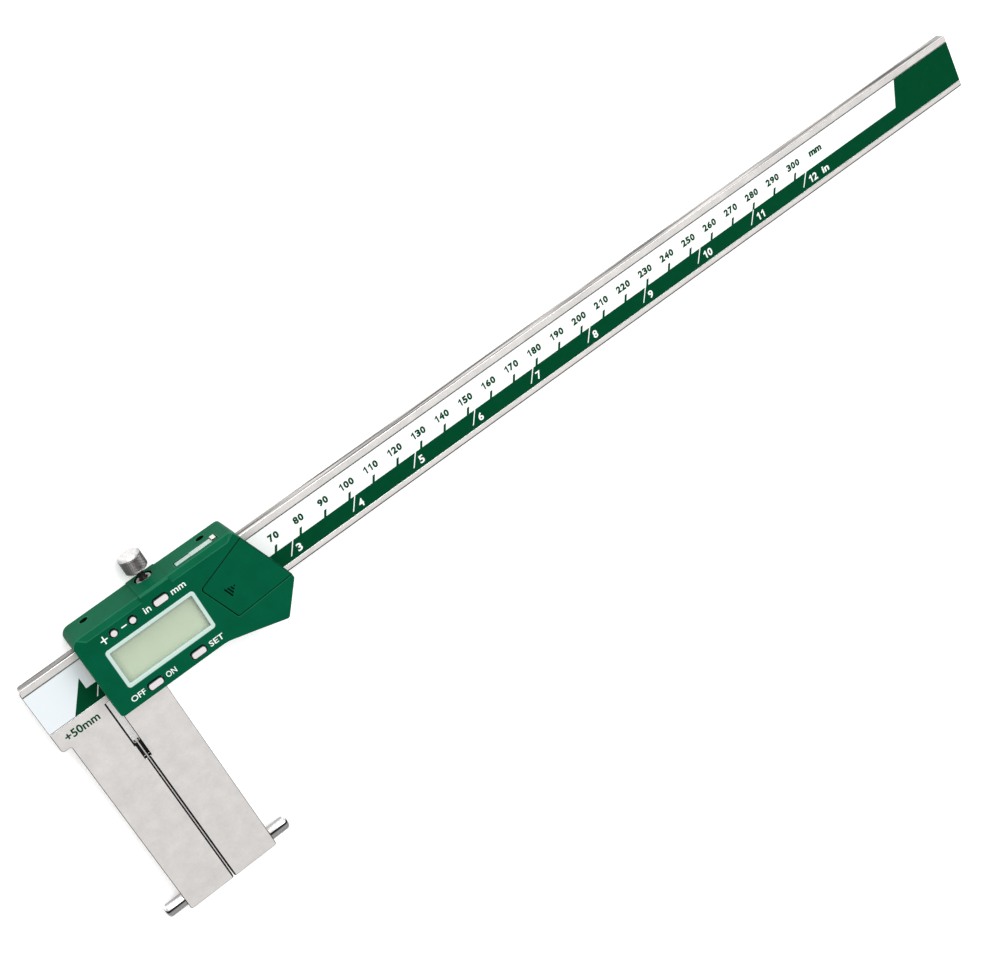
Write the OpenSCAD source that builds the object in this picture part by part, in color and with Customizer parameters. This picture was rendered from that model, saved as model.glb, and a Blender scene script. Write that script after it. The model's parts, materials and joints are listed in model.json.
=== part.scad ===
// Digital inside point caliper, lying on its back with the jaws closed.
// X runs along the beam, Y across it towards the lock screw, Z up out of the display.

/* [Beam] */
// Length of the beam from end to end
beam_l = 402; // [396:1:410]
// Width of the beam
beam_w = 20.6; // [20:0.1:20.8]
// Thickness of the beam and of both jaws
beam_t = 4.2; // [4.2:0.1:4.6]
// Length of the beam's head beyond the scale's zero mark
head_l = 21.6; // [20.5:0.1:24]
// Drop of the head below the beam's lower edge, to the step
head_drop = 5.5; // [4:0.1:8]

/* [Scale] */
// Width of the groove that holds the scale
groove_w = 15.9; // [15:0.1:17]
// Depth of the groove
groove_depth = 0.9; // [0.9:0.05:1.2]
// Steel left between the groove and the beam's upper edge
groove_margin = 2.5; // [2:0.1:2.8]
// Thickness of the measuring strip
scale_board_t = 0.7; // [0.5:0.05:0.7]
// Thickness of the printed film
scale_label_t = 0.15; // [0.1:0.01:0.18]

/* [Jaws] */
// Width of each jaw
jaw_w = 17.4; // [16:0.1:17.8]
// Reach of the jaws below the beam's lower edge
jaw_reach = 81; // [70:1:100]
// Gap between the closed jaws
jaw_gap = 0.4; // [0.35:0.05:0.6]
// Chamfer on the facing front edges of the jaws
jaw_chamfer = 0.35; // [0.2:0.05:0.5]
// Depth of the relief on the facing edges near the beam
jaw_relief = 0.95; // [0.5:0.05:1]
// Length of the full relief, from the beam's lower edge
relief_l = 18.6; // [12:0.1:24]
// Length of the half-thickness relief after it
half_relief_l = 6; // [4:0.1:8]

/* [Contact pins] */
// Distance over both contact pins with the jaws closed
pin_span = 50; // [48:0.5:52]
// Diameter of a contact pin
pin_d = 5; // [4:0.1:5.4]
// Height of the pin's axis above the jaw's end
pin_inset = 3.9; // [3:0.1:8]
// Diameter of the shank pressed into the jaw
shank_d = 2.5; // [2:0.1:2.8]
// Length of the shank
shank_l = 6; // [4:0.5:10]
// Rounding of the pin's end
pin_round = 1.4; // [0.5:0.1:1.8]

/* [Slider frame] */
// Length of the slider frame
frame_l = 57; // [54:0.5:57]
// Thickness of the frame behind the beam
frame_web = 1.7; // [1.5:0.1:2.2]
// Thickness of the frame's wall above the beam
frame_top_wall = 3.8; // [3.4:0.1:4]
// Thickness of the frame's wall below the beam
frame_low_wall = 2.7; // [2.4:0.1:2.8]
// Gap between the slider and the beam
slide_gap = 0.1; // [0.05:0.01:0.15]
// Thickness of the gib strip
gib_t = 1.05; // [0.8:0.05:1.05]
// Distance between the two gib screws
gib_screw_span = 44.4; // [42:0.2:45]
// Diameter of the gib screws
gib_screw_d = 3; // [2.5:0.1:3]

/* [Lock screw] */
// Diameter of the knurled knob
knob_d = 8; // [7:0.1:9]
// Length of the knurled knob
knob_l = 6.3; // [4:0.1:7]
// Distance of the knob from the frame
knob_lift = 5; // [4.5:0.1:7]
// Diameter of the screw's thread
lock_thread_d = 3; // [2.6:0.1:3]
// Diameter of the screw's neck
lock_neck_d = 2.5; // [2:0.1:2.6]
// Gap between the lock pad and the beam when released
lock_gap = 0.3; // [0.3:0.05:0.5]

/* [Housing] */
// Length of the housing's upper edge
housing_top_l = 60.6; // [60:0.1:61]
// Length of the housing at its widest
housing_l = 69.7; // [69:0.1:71]
// Height of the housing's front above the beam's front
housing_front = 9.7; // [9.5:0.1:10.5]
// Wall thickness of the housing
housing_wall = 1.6; // [1.5:0.05:1.7]
// Depth of the thumb rest below the housing's lower edge
thumb_drop = 6.3; // [4:0.1:8]
// Fall of the long bevel on the upper front edge
bevel_fall = 1.7; // [1:0.1:2]
// Width of that bevel on the front
bevel_w = 1.9; // [1.4:0.1:2.2]

/* [Display] */
// Length of the display's frame
bezel_l = 33.4; // [32:0.1:34]
// Height of the display's frame
bezel_h = 15.1; // [14:0.1:15.2]
// Width of the frame's rim
bezel_rim = 1.25; // [1:0.05:1.5]

/* [Buttons] */
// Diameter of the round buttons
round_button_d = 2.6; // [2.2:0.1:2.8]
// Length of the oblong buttons
long_button_l = 5.4; // [5:0.1:5.6]
// Width of the oblong buttons
long_button_w = 2.6; // [2.4:0.1:2.7]
// Gap round each button
button_gap = 0.28; // [0.25:0.01:0.35]
// Height of the buttons above the housing's front
button_proud = 0.5; // [0.3:0.05:0.6]

/* [Battery] */
// Diameter of the coin cell
cell_d = 11.6; // [11:0.1:11.8]
// Height of the coin cell
cell_h = 5.2; // [4.8:0.1:5.25]
// Direction in which the battery cover slides off, from the beam
cover_angle = 20; // [19:0.5:21]
// Gap round the battery cover
cover_gap = 0.15; // [0.12:0.01:0.2]

/* [Hidden] */

$fn = 48;
// Small amount by which a cut runs past the face it opens
past = 1;
// Play of a pressed or screwed fit, on the radius
fit_gap = 0.02;
// Play of the thread and the lock pad, on the radius
thread_gap = 0.03;

// Beam: X = 0 is the scale's zero mark, Z = 0 the beam's front
beam_low = -7.4;
beam_top = beam_low + beam_w;
beam_left = -head_l;
beam_right = beam_left + beam_l;
beam_mid_z = -beam_t / 2;
groove_top = beam_top - groove_margin;
groove_low = groove_top - groove_w;
label_margin = 0.1;

// Jaws: the closed jaws meet round X = jaw_mid
jaw_mid = -0.7;
fixed_inner = jaw_mid - jaw_gap / 2;
moving_inner = jaw_mid + jaw_gap / 2;
fixed_left = fixed_inner - jaw_w;
moving_right = moving_inner + jaw_w;
jaw_end = beam_low - jaw_reach;
relief_end = beam_low - relief_l;
half_relief_end = relief_end - half_relief_l;
pin_y = jaw_end + pin_inset;
fixed_tip = jaw_mid - pin_span / 2;
moving_tip = jaw_mid + pin_span / 2;

// Slider frame and gib
frame_left = 1;
frame_right = frame_left + frame_l;
frame_back = -beam_t - slide_gap - frame_web;
frame_front = 0.4;
gib_low = beam_top + slide_gap;
gib_top = gib_low + gib_t;
top_wall_low = gib_top + 0.05;
top_wall_top = top_wall_low + frame_top_wall;
low_wall_top = beam_low - slide_gap;
low_wall_low = low_wall_top - frame_low_wall;
screw_z = -2;
lock_x = 30.2;
lock_pad_l = 2;
gib_play = 0.1;
gib_screw_x = [lock_x - gib_screw_span / 2 - 0.5, lock_x + gib_screw_span / 2 - 0.5];
housing_screw_d = 1.6;
housing_screw_head_d = 2.1;
housing_screw_head_h = 0.9;
housing_screw_bite = 3;
housing_screw_at = [[gib_screw_x[0] - 3.3, top_wall_top - 1.6], [gib_screw_x[1] - 4.4, top_wall_top - 1.6],
    [moving_right + 5.1, low_wall_top - frame_low_wall / 2],
    [frame_right - 4, low_wall_top - frame_low_wall / 2]];
screw_post_d = 3;

// Housing
housing_left = -0.4;
housing_low = low_wall_low - 0.2;
housing_top = top_wall_top + housing_wall;
top_right = housing_left + housing_top_l;
far_right = housing_left + housing_l;
front = housing_front;
inside_front = front - housing_wall;
inner_gap = 0.2;
thumb_tip = [far_right - 8.4, housing_low - thumb_drop];
thumb_slope_l = 20.9;
thumb_left = thumb_tip.x - thumb_slope_l;
// Lower end of the slanting right wall, which runs up to [top_right, housing_top]
wall_foot = [far_right - 0.1, housing_low + 6.2];
boss_half = 5.3;
boss_rise = 0.4;
access_hole_d = 3;
knob_recess_d = 6.4;

// Electronics, stacked on the frame's walls
board_t = 1;
board_top = frame_front + board_t;
display_mid = [23.1, 4];
panel_front = inside_front - 0.5;
panel_t = 2;
pane_t = 0.9;
pane_gap = 0.05;
pane_l = bezel_l - 1.5;
pane_h = bezel_h - 1.5;
pane_back = panel_front + 0.3;
bezel_r = 1.15;
bezel_proud = 0.15;
seat_r = 0.4;
zebra_w = 1.6;
button_row_up = 15.2;
button_row_low = -7.4;
plus_at = [12.3, button_row_up];
minus_at = [19.3, button_row_up];
in_mm_at = [lock_x - 0.3, button_row_up];
on_off_at = [14.1, button_row_low];
set_at = [30.6, button_row_low];
flange_drop = 0.4;
flange_t = 0.8;
flange_extra = 1;
stem_end = 3.2;
mat_t = 0.6;
mat_past = 3.6;
dome_h = 0.6;

// Battery compartment
cell_y = 4.5;
holder_half = 7;
holder_right = 6.7;
holder_to_wall = 2.1;
cell_at = [wall_x(cell_y + holder_half) - holder_to_wall - holder_right, cell_y];
cover_along = [cos(cover_angle), sin(cover_angle)];
cover_across = [-sin(cover_angle), cos(cover_angle)];
cover_corner = [display_mid.x + bezel_l / 2 + 2, 9.8];
cover_side = 16.4;
cover_low_angle = 3;
cover_reach = 36;
rail = 0.8;
pocket_floor = 7;
pocket_floor_t = 1;
cell_base = board_top + 0.25;
leaf_t = 0.3;
leaf_h = 4.2;
leaf_half = 1.8;
pad_half = 3;

// Data port
port_mid = [top_right - 12.3, 4];
port_l = 16.2;
port_w = 3.8;
port_depth = 1;

// The frame's origin is under the middle of the whole caliper, on the surface it lies on
mid_x = (fixed_tip + beam_right) / 2;
mid_y = (jaw_end + top_wall_top + knob_lift + knob_l) / 2;

// X of the slanting right wall's outside at a given Y
function wall_x(y) =
    wall_foot.x + (top_right - wall_foot.x) * (y - wall_foot.y) / (housing_top - wall_foot.y);

function unit(v) = v / norm(v);
function turned(p, t) = [p.x * cos(t) - p.y * sin(t), p.x * sin(t) + p.y * cos(t)];

// Arc that replaces the corner b of a-b-c, or the corner itself where r is 0
function corner_arc(a, b, c, r, steps = 6) =
    let (u = unit(b - a), v = unit(c - b),
        turn = atan2(u.x * v.y - u.y * v.x, u * v),
        start = b - u * r * abs(tan(turn / 2)),
        centre = start + sign(turn) * r * [-u.y, u.x])
    r == 0 ? [b] : [for (k = [0 : steps]) centre + turned(start - centre, turn * k / steps)];

// Outline through corners given as [x, y, radius], anticlockwise
function rounded(corners) =
    let (n = len(corners), at = [for (c = corners) [c.x, c.y]])
    [for (i = [0 : n - 1])
        each corner_arc(at[(i + n - 1) % n], at[i], at[(i + 1) % n], corners[i].z)];

// The same corners moved inwards by d, without radii
function inset(corners, d) =
    let (n = len(corners), at = [for (c = corners) [c.x, c.y]])
    [for (i = [0 : n - 1])
        let (u = unit(at[i] - at[(i + n - 1) % n]), v = unit(at[(i + 1) % n] - at[i]),
            a = [-u.y, u.x], b = [-v.y, v.x])
        at[i] + (a + b) * d / (1 + a * b)];

function box_corners(w, h, r) =
    [[-w / 2, -h / 2, r], [w / 2, -h / 2, r], [w / 2, h / 2, r], [-w / 2, h / 2, r]];

module placed() {
    translate([-mid_x, -mid_y, -frame_back])
        children();
}

// Flat plate of a given outline between two heights
module plate(outline, low, high) {
    translate([0, 0, low])
        linear_extrude(height = high - low)
            polygon(outline);
}

// Box between two opposite corners
module block(low, high) {
    translate(low)
        cube(high - low);
}

// Cylinder along +Y from a point
module rod_y(at, d, l) {
    translate(at)
        rotate([-90, 0, 0])
            cylinder(d = d, h = l);
}

// Cylinder along +X from a point
module rod_x(at, d, l) {
    translate(at)
        rotate([0, 90, 0])
            cylinder(d = d, h = l);
}

module beam() {
    outline = rounded([
        [fixed_left, jaw_end, 0.8],
        [fixed_inner, jaw_end, 0.5],
        [fixed_inner, relief_end, 0],
        [fixed_inner - jaw_relief, relief_end, 0],
        [fixed_inner - jaw_relief, beam_low, 0.4],
        [beam_right, beam_low, 0.5],
        [beam_right, beam_top, 0.5],
        [beam_left, beam_top, 1.5],
        [beam_left, beam_low - head_drop, 1.2],
        [fixed_left, beam_low - head_drop, 0.6]
    ]);
    color("gainsboro")
        placed()
            difference() {
                plate(outline, -beam_t, 0);
                block([beam_left - past, groove_low, -groove_depth], [beam_right + past, groove_top, past]);
                block([fixed_inner - jaw_relief, half_relief_end, beam_mid_z],
                    [fixed_inner + past, relief_end + past, past]);
                inner_chamfer(fixed_inner, -1);
                rod_x([fixed_left - past, pin_y, beam_mid_z], shank_d, shank_l + past);
            }
}

// Chamfer cut along a jaw's facing front edge; side is -1 on the fixed jaw and 1 on the other
module inner_chamfer(x, side) {
    translate([x, jaw_end - past, 0])
        rotate([-90, 0, 0])
            linear_extrude(height = half_relief_end - jaw_end + past)
                polygon([[-side * past, -past], [side * (jaw_chamfer + past), -past],
                    [-side * past, jaw_chamfer + past]]);
}

module scale_board() {
    color("seagreen")
        placed()
            block([beam_left, groove_low + label_margin, -groove_depth],
                [beam_right, groove_top - label_margin, scale_board_t - groove_depth]);
}

module scale_label() {
    color("white")
        placed()
            block([beam_left, groove_low + label_margin, scale_board_t - groove_depth],
                [beam_right, groove_top - label_margin,
                    scale_board_t - groove_depth + scale_label_t]);
}

// Turned pin on its axis: a shank below 0 and the contact end above it
module contact_pin(stand_out) {
    steps = 6;
    round_end = [for (k = [0 : steps])
        [pin_d / 2 - pin_round + pin_round * cos(90 * k / steps),
            stand_out - pin_round + pin_round * sin(90 * k / steps)]];
    rotate_extrude()
        polygon(concat([[0, fit_gap - shank_l], [shank_d / 2 - fit_gap, fit_gap - shank_l],
            [shank_d / 2 - fit_gap, 0], [pin_d / 2, 0]], round_end, [[0, stand_out]]));
}

module fixed_pin() {
    color("silver")
        placed()
            translate([fixed_left, pin_y, beam_mid_z])
                rotate([0, -90, 0])
                    contact_pin(fixed_left - fixed_tip);
}

module moving_pin() {
    color("silver")
        placed()
            translate([moving_right, pin_y, beam_mid_z])
                rotate([0, 90, 0])
                    contact_pin(moving_tip - moving_right);
}

module slider_frame() {
    jaw = rounded([
        [moving_inner, jaw_end, 0.5],
        [moving_right, jaw_end, 0.8],
        [moving_right, low_wall_top, 0],
        [moving_inner + jaw_relief, low_wall_top, 0],
        [moving_inner + jaw_relief, relief_end, 0],
        [moving_inner, relief_end, 0]
    ]);
    color("gainsboro")
        placed()
            difference() {
                union() {
                    plate(jaw, -beam_t, 0);
                    block([frame_left, low_wall_low, frame_back],
                        [frame_right, top_wall_top, frame_back + frame_web]);
                    block([frame_left, low_wall_low, frame_back],
                        [frame_right, low_wall_top, frame_front]);
                    block([frame_left, top_wall_low, frame_back],
                        [frame_right, top_wall_top, frame_front]);
                }
                block([moving_inner - past, half_relief_end, beam_mid_z],
                    [moving_inner + jaw_relief, relief_end + past, past]);
                inner_chamfer(moving_inner, 1);
                rod_x([moving_right - shank_l, pin_y, beam_mid_z], shank_d, shank_l + past);
                for (x = gib_screw_x)
                    rod_y([x, top_wall_low - past, screw_z], gib_screw_d, frame_top_wall + 2 * past);
                rod_y([lock_x, top_wall_low - past, screw_z], lock_thread_d + 2 * thread_gap,
                    frame_top_wall + 2 * past);
                for (at = housing_screw_at)
                    translate([at.x, at.y, frame_back - past]) {
                        cylinder(d = housing_screw_d, h = frame_front - frame_back + 2 * past);
                        cylinder(d = housing_screw_head_d + 0.1, h = past + housing_screw_head_h + 0.1);
                    }
            }
}

module gib_strip() {
    color("darkkhaki")
        placed()
            difference() {
                block([frame_left + 1, gib_low, -beam_t + gib_play], [frame_right - 1, gib_top, -gib_play]);
                rod_y([lock_x, gib_low - past, screw_z], lock_thread_d + 2 * gib_play, gib_t + 2 * past);
            }
}

module gib_screws() {
    slot_w = 0.5;
    slot_depth = 0.7;
    screw_l = 3.2;
    color("dimgray")
        placed()
            for (x = gib_screw_x)
                difference() {
                    rod_y([x, gib_top, screw_z], gib_screw_d - 2 * fit_gap, screw_l);
                    block([x - slot_w / 2, gib_top + screw_l - slot_depth, screw_z - gib_screw_d],
                        [x + slot_w / 2, gib_top + screw_l + past, screw_z + gib_screw_d]);
                }
}

module lock_pad() {
    color("goldenrod")
        placed()
            rod_y([lock_x, beam_top + lock_gap, screw_z], lock_thread_d, lock_pad_l);
}

// Thumb screw on its axis, turned from one bar: thread, neck and chamfered knob
module lock_screw() {
    thread_low = beam_top + lock_gap + lock_pad_l;
    neck_low = top_wall_top - 0.3;
    knob_low = top_wall_top + knob_lift;
    knob_top = knob_low + knob_l;
    thread_edge = 0.3;
    low_edge = 0.5;
    top_edge = 0.8;
    color("silver")
        placed()
            translate([lock_x, 0, screw_z])
                rotate([-90, 0, 0])
                    rotate_extrude()
                        polygon([[0, thread_low], [lock_thread_d / 2 - thread_edge, thread_low],
                            [lock_thread_d / 2, thread_low + thread_edge], [lock_thread_d / 2, neck_low],
                            [lock_neck_d / 2, neck_low + thread_edge], [lock_neck_d / 2, knob_low],
                            [knob_d / 2 - low_edge, knob_low], [knob_d / 2, knob_low + low_edge],
                            [knob_d / 2, knob_top - top_edge], [knob_d / 2 - top_edge, knob_top],
                            [0, knob_top]]);
}

// Corners of the casing's outline, each with its radius; the thumb rest is at the lower right
housing_corners = [
    [housing_left, housing_low, 1.3],
    [thumb_left, housing_low, 12],
    [thumb_tip.x - 11, thumb_tip.y + 3.4, 8],
    [thumb_tip.x, thumb_tip.y, 1],
    [far_right, housing_low + 4.6, 1],
    [wall_foot.x, wall_foot.y, 1],
    [top_right, housing_top, 1.6],
    [housing_left, housing_top, 3]
];

// Outside of the casing: a deep front block, a skirt over the frame's upper wall and end walls
module housing_solid() {
    outline = rounded(housing_corners);
    end_x = frame_right + 0.2;
    side_clear = 0.4;
    thumb_back = -3;
    plate(outline, frame_front, front);
    intersection() {
        plate(outline, frame_back, frame_front);
        union() {
            block([housing_left - past, top_wall_top, frame_back],
                [far_right, housing_top + past, frame_front]);
            block([end_x, beam_top + side_clear, frame_back], [far_right, housing_top + past, frame_front]);
            block([housing_left - past, beam_top + side_clear, frame_back],
                [frame_left - 0.1, housing_top + past, frame_front]);
            block([end_x, thumb_tip.y - past, thumb_back],
                [far_right + past, beam_low - side_clear, frame_front]);
            block([thumb_left, thumb_tip.y - past, thumb_back],
                [far_right, low_wall_low - 0.1, frame_front]);
        }
    }
    knob_boss();
}

boss_foot = boss_half + 0.6;
boss_plan = [[lock_x - boss_foot, top_wall_top - 2], [lock_x + boss_foot, top_wall_top - 2],
    [lock_x + boss_half, housing_top + boss_rise], [lock_x - boss_half, housing_top + boss_rise]];

// Raised block round the lock screw, with a smaller bevel than the rest of the edge
module knob_boss() {
    boss_bevel = 0.9;
    difference() {
        plate(boss_plan, frame_back, front);
        edge_wedge(housing_top + boss_rise, boss_bevel, boss_bevel + 0.3);
        block([lock_x - 3 * boss_half, top_wall_low - past, frame_back - past],
            [lock_x + 3 * boss_half, top_wall_top, front + past]);
    }
}

// Wedge above the bevel plane along the upper front edge
module edge_wedge(top, fall, width) {
    translate([housing_left - past, 0, 0])
        rotate([90, 0, 90])
            linear_extrude(height = housing_l + 2 * past)
                polygon([[top - width, front], [top, front - fall], [top + past, front - fall],
                    [top + past, front + past], [top - width, front + past]]);
}

// The long bevel: it stops short of the boss and runs out towards the right corner
module long_bevel() {
    low = housing_top - bevel_w;
    difference() {
        intersection() {
            edge_wedge(housing_top, bevel_fall, bevel_w);
            plate([[housing_left - past, low - past], [top_right - 3, low - past], [top_right - 3, low],
                [top_right, housing_top], [top_right, housing_top + past],
                [housing_left - past, housing_top + past]], 0, front + past);
        }
        plate(boss_plan, 0, front + past);
    }
}

// Sloping facet that takes the bevel round the upper left corner: the cut above a tilted plane
module corner_facet() {
    low = [1.4, housing_top, front - bevel_fall];
    inner = [4.1, housing_top - bevel_w, front];
    side = [housing_left, housing_top - 9, front];
    reach = 6;
    lift = [0, 0, 4];
    beyond = low + reach * unit(low - inner) + reach * unit(low - side);
    hull()
        for (p = [low, inner, side, beyond])
            translate(p) {
                cube(0.001);
                translate(lift)
                    cube(0.001);
            }
}

function cover_corners(out_up, out_left, out_low) =
    let (a = cover_corner + cover_across * out_up - cover_along * out_left,
        b = cover_corner - cover_across * cover_side - cover_along * out_left - [0, out_low])
    [[a.x, a.y, 1.2], [b.x, b.y, 0.8],
        [b.x + cover_reach, b.y + cover_reach * tan(cover_low_angle), 0],
        [a.x + cover_reach * cover_along.x, a.y + cover_reach * cover_along.y, 0]];

module key_hole(at, w, h, r) {
    plate([for (p = rounded(box_corners(w + 2 * button_gap, h + 2 * button_gap, r + button_gap))) p + at],
        inside_front - past, front + past);
}

module housing() {
    outer = inset(housing_corners, housing_wall);
    color("darkgreen")
        placed()
            difference() {
                union() {
                    difference() {
                        housing_solid();
                        intersection() {
                            plate(outer, frame_front - past, inside_front);
                            block([housing_left, low_wall_top - 1.5, frame_front],
                                [far_right, top_wall_top, front]);
                        }
                    }
                    intersection() {
                        plate(inset(housing_corners, 0.5), pocket_floor - pocket_floor_t, pocket_floor);
                        plate(rounded(cover_corners(2, 2, 1)), 0, front);
                    }
                    for (at = housing_screw_at)
                        translate([at.x, at.y, frame_front])
                            cylinder(d = screw_post_d, h = inside_front - frame_front);
                }
                long_bevel();
                corner_facet();
                plate([for (p = rounded(box_corners(bezel_l + 2 * pane_gap, bezel_h + 2 * pane_gap,
                    bezel_r + pane_gap))) p + display_mid],
                    inside_front - past, front + past);
                round_key_hole(plus_at);
                round_key_hole(minus_at);
                for (at = [in_mm_at, on_off_at, set_at])
                    key_hole(at, long_button_l, long_button_w, 1);
                plate(rounded(cover_corners(0, 0, 0)), pocket_floor, front + past);
                plate(rounded(cover_corners(rail + cover_gap, rail + cover_gap, 0)), pocket_floor,
                    inside_front);
                translate([cell_at.x, cell_at.y, 0])
                    cylinder(d = cell_d + 0.8, h = front);
                for (x = gib_screw_x)
                    rod_y([x, top_wall_top - past, screw_z], access_hole_d, 2 * housing_wall + past);
                rod_y([lock_x, top_wall_top - past, screw_z], knob_recess_d, 2 * housing_wall + past);
                block([port_mid.x - port_l / 2, housing_top - port_depth, port_mid.y - port_w / 2],
                    [port_mid.x + port_l / 2, housing_top + past, port_mid.y + port_w / 2]);
                for (at = housing_screw_at)
                    translate([at.x, at.y, frame_front - past])
                        cylinder(d = housing_screw_d, h = past + housing_screw_bite);
            }
}

module round_key_hole(at) {
    translate([at.x, at.y, inside_front - past])
        cylinder(d = round_button_d + 2 * button_gap, h = housing_wall + 2 * past);
}

module housing_screws() {
    slot_w = 0.4;
    slot_depth = 0.4;
    color("silver")
        placed()
            for (at = housing_screw_at)
                translate([at.x, at.y, frame_back + 0.05])
                    difference() {
                        union() {
                            cylinder(d = housing_screw_d - 2 * fit_gap,
                                h = frame_front - frame_back + housing_screw_bite - 0.2);
                            cylinder(d = housing_screw_head_d, h = housing_screw_head_h);
                        }
                        block([-slot_w / 2, -housing_screw_d, -past],
                            [slot_w / 2, housing_screw_d, slot_depth]);
                    }
}

module lcd_bezel() {
    color("honeydew")
        placed()
            translate([display_mid.x, display_mid.y, 0])
                difference() {
                    plate(rounded(box_corners(bezel_l, bezel_h, bezel_r)), panel_front, front + bezel_proud);
                    plate(rounded(box_corners(bezel_l - 2 * bezel_rim, bezel_h - 2 * bezel_rim, seat_r)),
                        panel_front - past, front + past);
                    plate(rounded(box_corners(pane_l + 2 * pane_gap, pane_h + 2 * pane_gap, seat_r)),
                        panel_front - past, pane_back + pane_t);
                }
}

module lcd_window() {
    color("white", 0.3)
        placed()
            translate([display_mid.x, display_mid.y, 0])
                plate(rounded(box_corners(pane_l, pane_h, seat_r)), pane_back, pane_back + pane_t);
}

module lcd_panel() {
    color("darkseagreen")
        placed()
            translate([display_mid.x, display_mid.y, 0])
                plate(rounded(box_corners(pane_l, pane_h, seat_r)), panel_front - panel_t,
                    panel_front + 0.2);
}

function box_corners_flat(w, h) = [for (c = box_corners(w, h, 0)) [c.x, c.y]];

// Rubber contact strip between the board and one long edge of the display; side is 1 or -1
module zebra(side) {
    color("slategray")
        placed()
            translate([display_mid.x, display_mid.y + side * (bezel_h / 2 - 1.8), 0])
                plate(box_corners_flat(bezel_l - 4, zebra_w), board_top, panel_front - panel_t);
}

module zebra_upper() {
    zebra(1);
}

module zebra_lower() {
    zebra(-1);
}

module circuit_board() {
    board_right = far_right - 7.3;
    color("green")
        placed()
            difference() {
                intersection() {
                    block([frame_left, low_wall_top - 1, frame_front],
                        [board_right, top_wall_top - 0.6, board_top]);
                    plate(inset(housing_corners, housing_wall + inner_gap), 0, front);
                }
                for (at = housing_screw_at)
                    translate([at.x, at.y, 0])
                        cylinder(d = screw_post_d + 0.5, h = front);
            }
}

module controller_chip() {
    chip_w = 8;
    color("black")
        placed()
            translate([display_mid.x, display_mid.y, 0])
                plate(box_corners_flat(chip_w, chip_w), board_top, board_top + 1.2);
}

// Silicone strip on the board with a dome under each button
module key_mat(x_low, x_high, y, centres) {
    half_w = 1.5;
    dome_d = 2.2;
    color("lightgray")
        placed() {
            block([x_low, y - half_w, board_top], [x_high, y + half_w, board_top + mat_t]);
            for (at = centres)
                translate([at.x, at.y, board_top + mat_t])
                    cylinder(d = dome_d, h = dome_h);
        }
}

module key_mat_upper() {
    key_mat(plus_at.x - mat_past, in_mm_at.x + mat_past, button_row_up, [plus_at, minus_at, in_mm_at]);
}

module key_mat_lower() {
    difference() {
        key_mat(on_off_at.x - mat_past, set_at.x + mat_past, button_row_low + 0.5, [on_off_at, set_at]);
        color("lightgray")
            placed()
                translate([housing_screw_at[2].x, housing_screw_at[2].y, 0])
                    cylinder(d = screw_post_d + 0.5, h = front);
    }
}

// Button cap with a flange behind the housing's front and a stem down to the mat
module button_solid(at, outline, flange) {
    top = front + button_proud;
    flange_top = inside_front - flange_drop;
    stem_d = 1.6;
    color("lavenderblush")
        placed()
            translate([at.x, at.y, 0]) {
                plate(outline, flange_top - flange_t, top);
                plate(flange, flange_top - flange_t, flange_top);
                translate([0, 0, stem_end])
                    cylinder(d = stem_d, h = flange_top - stem_end);
            }
}

module round_button(at) {
    circle_at = [for (k = [0 : 35]) turned([round_button_d / 2, 0], k * 10)];
    button_solid(at, circle_at, box_corners_flat(round_button_d + flange_extra, round_button_d));
}

module long_button(at) {
    button_solid(at, rounded(box_corners(long_button_l, long_button_w, 1)),
        box_corners_flat(long_button_l + flange_extra, long_button_w));
}

module button_plus() {
    round_button(plus_at);
}

module button_minus() {
    round_button(minus_at);
}

module button_in_mm() {
    long_button(in_mm_at);
}

module button_on_off() {
    long_button(on_off_at);
}

module button_set() {
    long_button(set_at);
}

// Five-sided cover with a rail along its upper and left edges, clipped to the housing's outline
module battery_cover() {
    arrow_at = [cover_corner.x + 6.8, cover_corner.y - 6.4];
    bar_pitch = 0.95;
    bar_w = 0.55;
    bar_l = 3.8;
    bar_step = 0.55;
    bar_depth = 0.35;
    color("darkgreen")
        placed()
            difference() {
                intersection() {
                    plate(rounded(housing_corners), 0, front);
                    union() {
                        plate(rounded(cover_corners(-cover_gap, -cover_gap, -cover_gap)),
                            pocket_floor + cover_gap, front);
                        plate(rounded(cover_corners(rail, rail, -cover_gap)), pocket_floor + cover_gap,
                            inside_front - cover_gap);
                    }
                }
                for (k = [0 : 3])
                    translate([arrow_at.x, arrow_at.y, front - bar_depth])
                        rotate([0, 0, cover_angle])
                            translate([k * bar_pitch, k * bar_step - bar_l / 2, 0])
                                cube([bar_w, bar_l - 2 * k * bar_step, past]);
            }
}

module battery_holder() {
    slot_half = leaf_half + 0.4;
    color("black")
        placed()
            difference() {
                intersection() {
                    block([cell_at.x - holder_half, cell_at.y - holder_half, board_top],
                        [cell_at.x + holder_right, cell_at.y + holder_half,
                            pocket_floor - pocket_floor_t - 0.1]);
                    plate(inset(housing_corners, housing_wall + inner_gap), 0, front);
                }
                translate([cell_at.x, cell_at.y, board_top - past])
                    cylinder(d = cell_d + 0.3, h = cell_h + 2 * past);
                block([cell_at.x + cell_d / 2 - past, cell_at.y - slot_half, board_top - past],
                    [cell_at.x + cell_d / 2 + leaf_t + 0.1, cell_at.y + slot_half, front]);
            }
}

module coin_cell() {
    rim = 0.6;
    color("silver")
        placed()
            translate([cell_at.x, cell_at.y, cell_base])
                rotate_extrude()
                    polygon([[0, 0], [cell_d / 2 - 1.2, 0], [cell_d / 2 - 1.2, 0.4], [cell_d / 2, 0.9],
                        [cell_d / 2, cell_h - rim / 2], [cell_d / 2 - rim / 2, cell_h], [0, cell_h]]);
}

module battery_contact_positive() {
    touch_x = cell_at.x + cell_d / 2;
    color("silver")
        placed()
            block([touch_x, cell_at.y - leaf_half, board_top],
                [touch_x + leaf_t, cell_at.y + leaf_half, board_top + leaf_h]);
}

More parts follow.
